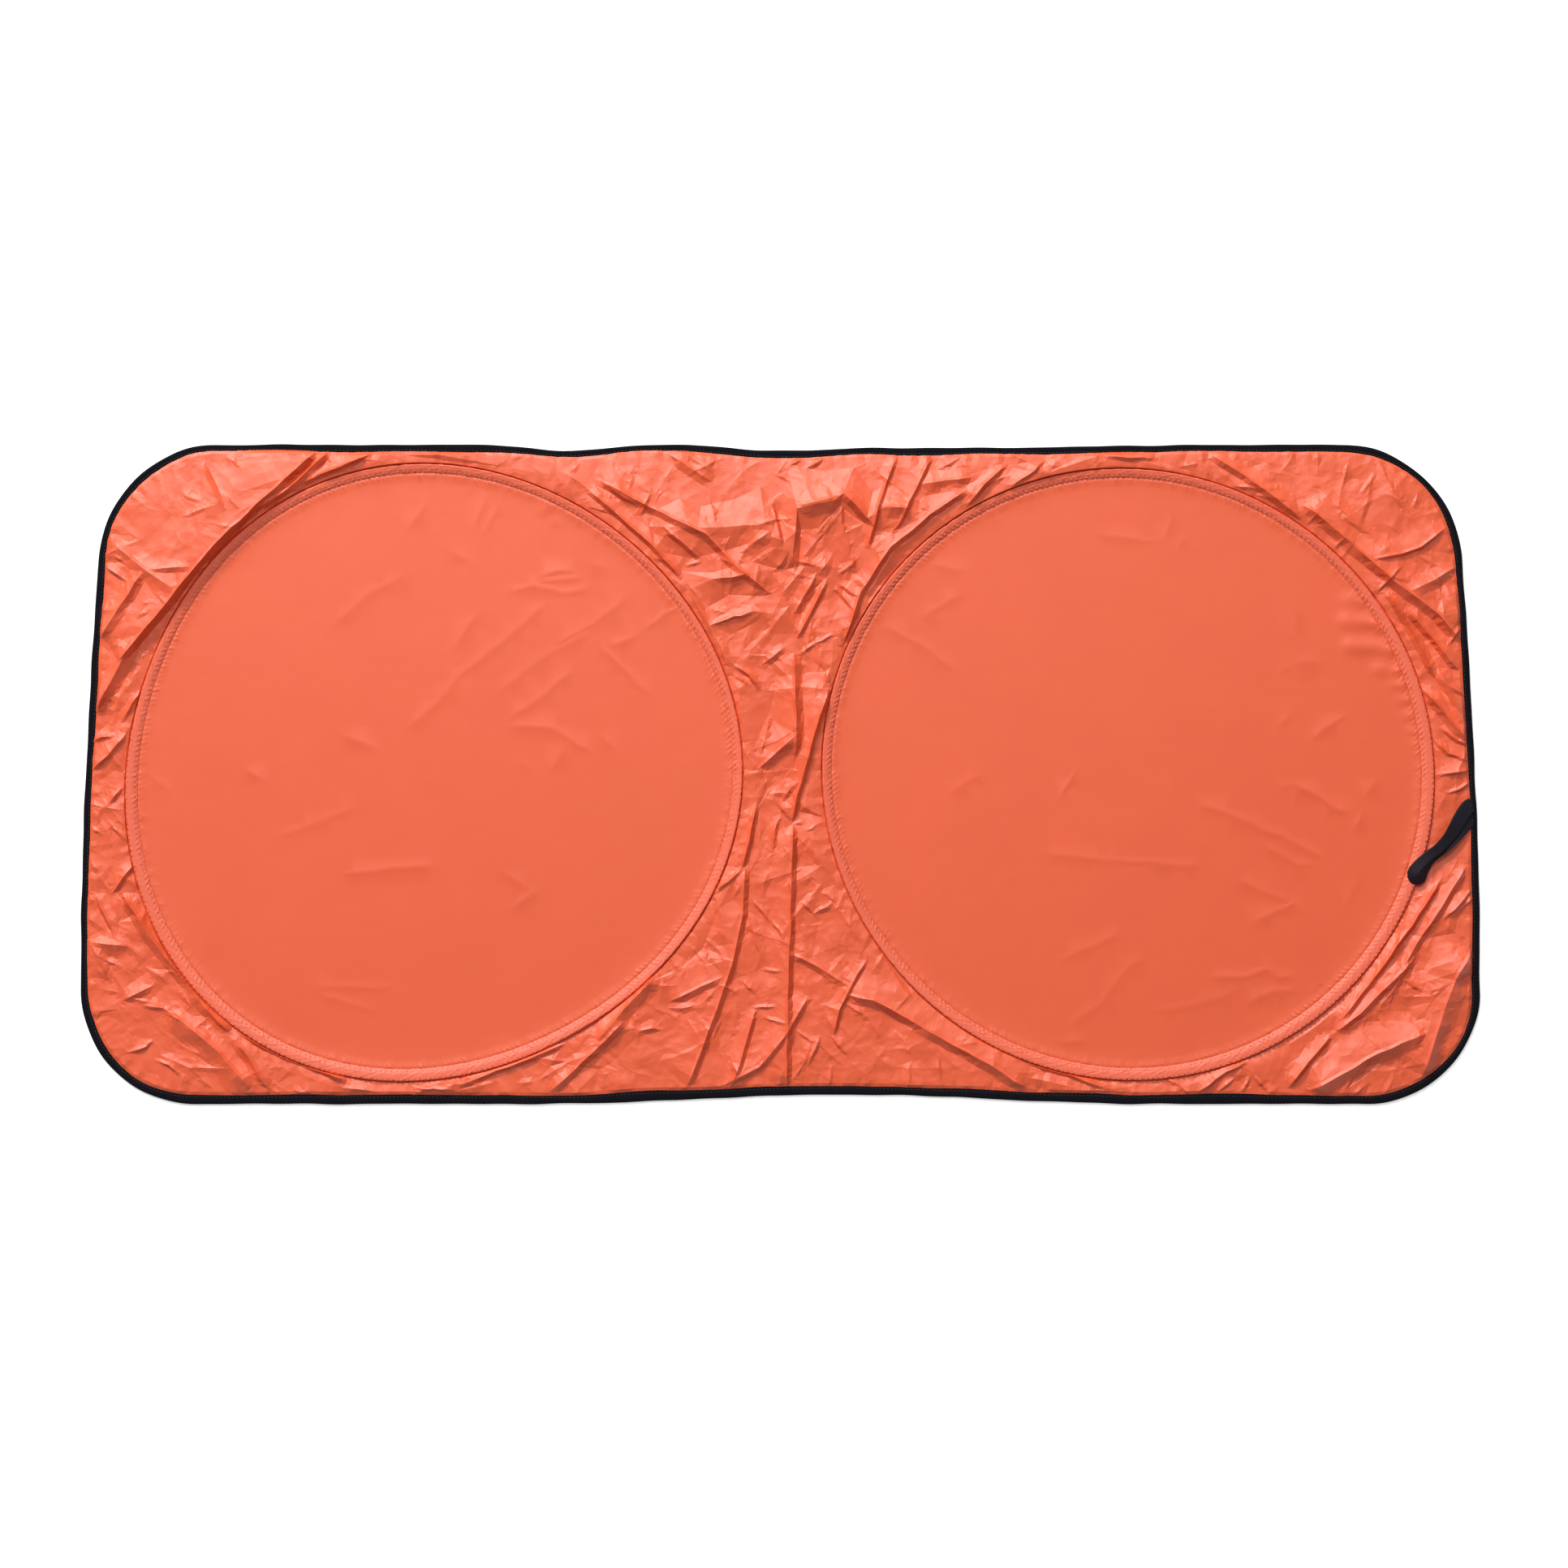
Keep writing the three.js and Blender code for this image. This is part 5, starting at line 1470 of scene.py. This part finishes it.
def build_weave(group):
    nodes = group.nodes
    links = group.links
    entry = add_node(nodes, "NodeGroupInput")
    leave = add_node(nodes, "NodeGroupOutput")
    split = add_node(nodes, "ShaderNodeSeparateXYZ")
    links.new(entry.outputs["Vector"], split.inputs[0])
    turns = maths(nodes, links, "MULTIPLY", entry.outputs["Threads"], math.pi)
    along = maths(nodes, links, "SINE", maths(nodes, links, "MULTIPLY", split.outputs[0], turns), 0)
    across = maths(nodes, links, "SINE", maths(nodes, links, "MULTIPLY", split.outputs[1], turns), 0)
    warp_ups = maths(nodes, links, "ABSOLUTE", along, 0)
    weft_ups = maths(nodes, links, "ABSOLUTE", across, 0)
    height = maths(nodes, links, "ADD", warp_ups, weft_ups)
    long_way = stretched(nodes, links, entry.outputs["Vector"], (SLUB_LENGTH, SLUB_WIDTH, 1))
    cross_way = stretched(nodes, links, entry.outputs["Vector"], (SLUB_WIDTH, SLUB_LENGTH, 1))
    lengthwise = noise(nodes, links, long_way, 1.0, 2.0)
    crosswise = noise(nodes, links, cross_way, 1.0, 2.0)
    slubs = maths(nodes, links, "ADD", lengthwise, crosswise)
    links.new(height, leave.inputs["Height"])
    links.new(slubs, leave.inputs["Slubs"])


build_weave(weave_group)
print(len(weave_group.nodes), "nodes in the weave group")

# %% [markdown]
# The materials below share three helpers: the weave placed on a piece's UV map, a bump that can lie
# on top of another, and a colour ramp.

# %% Weave, bump and ramp
def place_weave(nodes, links, vector, threads):
    node = add_node(nodes, "ShaderNodeGroup")
    node.node_tree = weave_group
    node.inputs["Threads"].default_value = threads
    links.new(vector, node.inputs["Vector"])
    return node


def bump_node(nodes, links, height, distance, strength=1.0, normal=None):
    node = add_node(nodes, "ShaderNodeBump")
    node.inputs["Distance"].default_value = distance
    node.inputs["Strength"].default_value = strength
    links.new(height, node.inputs["Height"])
    if normal is not None:
        links.new(normal, node.inputs["Normal"])
    return node.outputs["Normal"]


def ramp(nodes, links, value, stops):
    node = add_node(nodes, "ShaderNodeValToRGB")
    while len(node.color_ramp.elements) < len(stops):
        node.color_ramp.elements.new(0.5)
    for element, (place, colour) in zip(node.color_ramp.elements, stops):
        element.position = place
        element.color = colour
    links.new(value, node.inputs["Fac"])
    return node.outputs["Color"]


print("the weave repeats every", round(2000 / CLOTH_THREADS, 3), "mm")

# %% [markdown]
# Orange cloth. Its base colour is nearly even, with pale and deep threads mixed in. Where the cloth
# is loose, a cell pattern with stretched, warped cells adds the small sharp dents of crumpling.

# %% Orange coated cloth
ORANGE_DEEP = (0.655, 0.074, 0.013, 1)
ORANGE_PALE = (0.715, 0.088, 0.019, 1)
# The casing's colours are paler and pinker than the sheet's: partly the strip's own tone, partly a
# painted sheen standing in for the gloss on its raised, lit band.
CASING_TONE_SHEEN_DEEP = (0.68, 0.090, 0.029, 1)
CASING_TONE_SHEEN_PALE = (0.745, 0.115, 0.050, 1)
CLOTH_GLOSS = 0.8
WEAVE_DEPTH = 0.00004  # metres, as the depths below
DENT_DEPTH = 0.0009
SOFT_DEPTH = 0.0006
DENT_CELLS = ((48.0, 1.0), (95.0, 0.45))  # cells a metre, weight
WARP_SCALE = 14.0
WARP_REACH = 0.05


def orange_cloth(name, deep, pale, roughness, crumple=True):
    material, nodes, links, shader = new_material(name)
    uv = add_node(nodes, "ShaderNodeUVMap", uv_map="UVMap").outputs[0]
    weave = place_weave(nodes, links, uv, CLOTH_THREADS)
    broad = noise(nodes, links, uv, 9.0, 3.0)
    slubs = maths(nodes, links, "MULTIPLY", weave.outputs["Slubs"], 0.2)
    mixed = maths(nodes, links, "ADD", slubs, maths(nodes, links, "MULTIPLY", broad, 0.6))
    links.new(ramp(nodes, links, mixed, [(0.2, deep), (0.8, pale)]), shader.inputs["Base Color"])
    normal = bump_node(nodes, links, weave.outputs["Height"], WEAVE_DEPTH, 0.5)
    if crumple:
        loose = add_node(nodes, "ShaderNodeAttribute", attribute_name="looseness").outputs["Fac"]
        warp = add_node(nodes, "ShaderNodeTexNoise")
        warp.inputs["Scale"].default_value = WARP_SCALE
        warp.inputs["Detail"].default_value = 2.0
        links.new(uv, warp.inputs["Vector"])
        shift = add_node(nodes, "ShaderNodeVectorMath", operation="MULTIPLY_ADD")
        shift.inputs[1].default_value = (WARP_REACH, WARP_REACH, 0.0)
        links.new(warp.outputs["Color"], shift.inputs[0])
        links.new(uv, shift.inputs[2])
        cells = []
        for scale, weight in DENT_CELLS:
            cell = add_node(nodes, "ShaderNodeTexVoronoi", feature="F1")
            cell.voronoi_dimensions = "2D"
            cell.inputs["Scale"].default_value = scale
            links.new(shift.outputs[0], cell.inputs["Vector"])
            cells.append(maths(nodes, links, "MULTIPLY", cell.outputs["Distance"], weight))
        dents = maths(nodes, links, "MULTIPLY", maths(nodes, links, "ADD", cells[0], cells[1]), loose)
        normal = bump_node(nodes, links, dents, DENT_DEPTH, 1.0, normal)
        soft = noise(nodes, links, uv, 26.0, 3.0)
        normal = bump_node(nodes, links, soft, SOFT_DEPTH, 0.6, normal)
    links.new(normal, shader.inputs["Normal"])
    shader.inputs["Roughness"].default_value = roughness
    shader.inputs["Specular IOR Level"].default_value = CLOTH_GLOSS
    return material


face_cloth = orange_cloth("orange_cloth", ORANGE_DEEP, ORANGE_PALE, 0.50)
# The casing is the same cloth in a paler, pinker colour: partly its own tone, partly painted sheen.
casing_cloth = orange_cloth("casing_cloth", CASING_TONE_SHEEN_DEEP, CASING_TONE_SHEEN_PALE, 0.58, crumple=False)
print("orange cloth:", len(face_cloth.node_tree.nodes), "nodes")

# %% [markdown]
# The back is the same cloth with aluminium rolled on thinly, so it is metallic but not a mirror: its
# roughness wanders in patches, and the weave still shows through it.

# %% Silver back
def silver_back():
    material, nodes, links, shader = new_material("silver_coating")
    uv = add_node(nodes, "ShaderNodeUVMap", uv_map="UVMap").outputs[0]
    weave = place_weave(nodes, links, uv, CLOTH_THREADS)
    patches = noise(nodes, links, uv, 30.0, 4.0)
    colour = ramp(nodes, links, patches, [(0.3, (0.5, 0.51, 0.52, 1)), (0.7, (0.62, 0.63, 0.65, 1))])
    links.new(colour, shader.inputs["Base Color"])
    rough = add_node(nodes, "ShaderNodeMapRange")
    rough.inputs["To Min"].default_value = 0.32
    rough.inputs["To Max"].default_value = 0.48
    links.new(patches, rough.inputs["Value"])
    links.new(rough.outputs[0], shader.inputs["Roughness"])
    normal = bump_node(nodes, links, weave.outputs["Height"], WEAVE_DEPTH, 0.5)
    links.new(bump_node(nodes, links, patches, 0.0005, 0.5, normal), shader.inputs["Normal"])
    shader.inputs["Metallic"].default_value = 0.75
    return material


silver = silver_back()
print("silver coating:", len(silver.node_tree.nodes), "nodes")

# %% [markdown]
# The binding tape is a black grosgrain with cross ribs a little under a millimetre apart. The
# elastic has lengthwise ribs with the knit's small stitches across them. Neither is an even black:
# fuzz and a little dust vary it.

# %% Black tape, elastic and thread
TAPE_RIBS = (1250, 700)  # ribs a metre along and across
ELASTIC_RIBS = (900, 620)
TAPE_DARK = (0.002, 0.002, 0.003, 1)
TAPE_DUSTY = (0.006, 0.005, 0.009, 1)
BAND_DARK = (0.003, 0.002, 0.005, 1)
BAND_DUSTY = (0.010, 0.008, 0.015, 1)
PINK_THREAD = ((0.64, 0.145, 0.08, 1), (0.78, 0.25, 0.17, 1))
BLACK_THREAD = ((0.006, 0.006, 0.008, 1), (0.02, 0.02, 0.025, 1))


def ribbed_black(name, ribs_along, ribs_across, low, high, roughness, gloss, depth):
    material, nodes, links, shader = new_material(name)
    uv = add_node(nodes, "ShaderNodeUVMap", uv_map="UVMap").outputs[0]
    split = add_node(nodes, "ShaderNodeSeparateXYZ")
    links.new(uv, split.inputs[0])
    waves = []
    for place, count in zip(split.outputs, (ribs_along, ribs_across)):
        turns = maths(nodes, links, "MULTIPLY", place, 2 * math.pi * count)
        wave = maths(nodes, links, "SINE", turns, 0)
        waves.append(maths(nodes, links, "MULTIPLY", wave, 0.5))
    ribs = maths(nodes, links, "ADD", waves[0], waves[1])
    fuzz = noise(nodes, links, uv, 900.0, 3.0)
    patches = noise(nodes, links, uv, 40.0, 3.0)
    half_fuzz = maths(nodes, links, "MULTIPLY", fuzz, 0.5)
    half_patches = maths(nodes, links, "MULTIPLY", patches, 0.5)
    shade = maths(nodes, links, "ADD", half_fuzz, half_patches)
    links.new(ramp(nodes, links, shade, [(0.35, low), (0.7, high)]), shader.inputs["Base Color"])
    normal = bump_node(nodes, links, ribs, depth, 0.7)
    links.new(bump_node(nodes, links, fuzz, 0.0001, 0.4, normal), shader.inputs["Normal"])
    shader.inputs["Roughness"].default_value = roughness
    shader.inputs["Specular IOR Level"].default_value = gloss
    return material


tape_black = ribbed_black("binding_tape", *TAPE_RIBS, TAPE_DARK, TAPE_DUSTY, 0.8, 0.07, 0.00009)
elastic_black = ribbed_black("strap_elastic", *ELASTIC_RIBS, BAND_DARK, BAND_DUSTY, 0.6, 0.13, 0.0002)


def thread_material(name, low, high):
    material, nodes, links, shader = new_material(name)
    place = add_node(nodes, "ShaderNodeTexCoord").outputs["Object"]
    twist = noise(nodes, links, place, 1600.0, 2.0)
    links.new(ramp(nodes, links, twist, [(0.35, low), (0.65, high)]), shader.inputs["Base Color"])
    links.new(bump_node(nodes, links, twist, 0.0001, 0.6), shader.inputs["Normal"])
    shader.inputs["Roughness"].default_value = 0.6
    return material


pale_thread = thread_material("pale_thread", *PINK_THREAD)
black_thread = thread_material("black_thread", *BLACK_THREAD)
print("ribs of the tape stand", round(1000 / TAPE_RIBS[0], 1), "mm apart")

# %% [markdown]
# The hoops and their sleeves are hidden in the casings, but they are part of the model, so they get
# their own finish: bright drawn wire with fine streaks.

# %% Drawn spring steel
def spring_steel():
    material, nodes, links, shader = new_material("spring_steel")
    place = add_node(nodes, "ShaderNodeTexCoord").outputs["Object"]
    streaks = noise(nodes, links, place, 500.0, 4.0)
    colour = ramp(nodes, links, streaks, [(0.3, (0.5, 0.51, 0.52, 1)), (0.7, (0.64, 0.65, 0.66, 1))])
    links.new(colour, shader.inputs["Base Color"])
    rough = add_node(nodes, "ShaderNodeMapRange")
    rough.inputs["To Min"].default_value = 0.22
    rough.inputs["To Max"].default_value = 0.4
    links.new(streaks, rough.inputs["Value"])
    links.new(rough.outputs[0], shader.inputs["Roughness"])
    shader.inputs["Metallic"].default_value = 1.0
    return material


steel = spring_steel()
print("spring steel:", len(steel.node_tree.nodes), "nodes")

# %% [markdown]
# The sheet takes two materials, orange on its front and rim and silver on its back. The solids that
# no mesh here stands for keep their shape and get the steel.

# %% Put the materials on
for piece, materials in (
        (sheet, [face_cloth, silver]), (binding, [tape_black]), (strap, [elastic_black]),
        (binding_thread, [black_thread]), (casings[0], [casing_cloth]), (casings[1], [casing_cloth]),
        (threads[0], [pale_thread]), (threads[1], [pale_thread])):
    for material in materials:
        piece.data.materials.append(material)
for name in ("left_hoop", "right_hoop", "left_hoop_sleeve", "right_hoop_sleeve"):
    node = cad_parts[name]
    node.data.materials.clear()
    node.data.materials.append(steel)
print("materials:", len(bpy.data.materials))

# %% [markdown]
# Each piece is tied to the model's one body, and the solids that these pieces replace are hidden.

# %% Tie the pieces to the frame
for piece in [sheet, binding, binding_thread, strap] + casings + threads:
    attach(piece, "root")
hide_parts("shade_panel")
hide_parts("edge_binding")
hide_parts("storage_strap")
for casing, thread, hoop in zip(casings, threads, HOOPS):
    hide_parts(hoop["side"] + "_hoop_casing")

# %% [markdown]
# The shade is seen from straight above on a pale floor that takes its soft shadow. The background of
# the picture is white: rays that come straight from the camera, or by way of a gloss or a clear
# piece, see the floor and the surround brighter than the lit pieces do. So the picture is white,
# and the pale room doesn't wash out the folds.

# %% Floor
FLOOR_DROP = 0.0004
FLOOR_GLOW = 0.45


def direct_view(nodes, links):
    path = add_node(nodes, "ShaderNodeLightPath")
    glossy = path.outputs["Is Glossy Ray"]
    mirrored = maths(nodes, links, "MAXIMUM", glossy, path.outputs["Is Transmission Ray"])
    return maths(nodes, links, "MAXIMUM", path.outputs["Is Camera Ray"], mirrored)


bpy.ops.mesh.primitive_plane_add(size=12, location=(0, 0, -FLOOR_DROP))
floor = bpy.context.active_object
floor.name = "floor"
floor_material, nodes, links, shader = new_material("pale_floor")
shader.inputs["Base Color"].default_value = (0.86, 0.86, 0.87, 1)
shader.inputs["Roughness"].default_value = 0.9
shader.inputs["Specular IOR Level"].default_value = 0.1
glow = maths(nodes, links, "MULTIPLY", direct_view(nodes, links), FLOOR_GLOW)
shader.inputs["Emission Color"].default_value = (1, 1, 1, 1)
links.new(glow, shader.inputs["Emission Strength"])
floor.data.materials.append(floor_material)
print("floor", round(FLOOR_DROP * 1000, 2), "mm under the shade")

# %% [markdown]
# A broad key lamp far off at the upper left, about 30 degrees over the floor, gives every fold a lit
# and a shaded side. A weak soft box, nearer and higher on the same side, opens the shadows a little,
# and a pale surround fills them.

# %% Lights and surround
WORLD_LEVEL = 0.18
KEY = ((-3.3, 7.0, 4.8), 1.7, 925)  # place, size in metres, watts
SOFT_BOX = ((-0.5, 2.2, 3.4), 1.4, 69)
world = bpy.data.worlds.new("pale surround")
world.use_nodes = True
bpy.context.scene.world = world
nodes = world.node_tree.nodes
links = world.node_tree.links
background = nodes["Background"]
background.inputs["Color"].default_value = (1, 0.97, 0.95, 1)
white_share = maths(nodes, links, "MULTIPLY", direct_view(nodes, links), 1 - WORLD_LEVEL)
strength = maths(nodes, links, "ADD", white_share, WORLD_LEVEL)
links.new(strength, background.inputs["Strength"])


def area_light(name, place, size, power):
    data = bpy.data.lights.new(name, "AREA")
    data.shape = "DISK"
    data.size = size
    data.energy = power
    lamp = bpy.data.objects.new(name, data)
    lamp.location = place
    lamp.rotation_euler = (-Vector(place)).to_track_quat("-Z", "Y").to_euler()
    bpy.context.scene.collection.objects.link(lamp)
    return lamp


area_light("key", *KEY)
area_light("soft box", *SOFT_BOX)
print("metres to the lamps:", [round(Vector(lamp[0]).length, 1) for lamp in (KEY, SOFT_BOX)])

# %% [markdown]
# The camera looks straight down. Its width of view and its place were set so that the outline falls
# where it does in the photo.

# %% Camera
VIEW_WIDTH = 1.682
CAMERA_HEIGHT = 3.4
CAMERA_SHIFT = (0.0039, -0.0104)
camera_data = bpy.data.cameras.new("camera")
camera_data.sensor_fit = "HORIZONTAL"
camera_data.sensor_width = 36
camera_data.lens = camera_data.sensor_width * CAMERA_HEIGHT / VIEW_WIDTH
camera = bpy.data.objects.new("camera", camera_data)
camera.location = (*CAMERA_SHIFT, CAMERA_HEIGHT)
bpy.context.scene.collection.objects.link(camera)
bpy.context.scene.camera = camera
bpy.context.scene.view_settings.view_transform = "Standard"
print("lens", round(camera_data.lens, 1), "mm for a view", VIEW_WIDTH, "m wide")
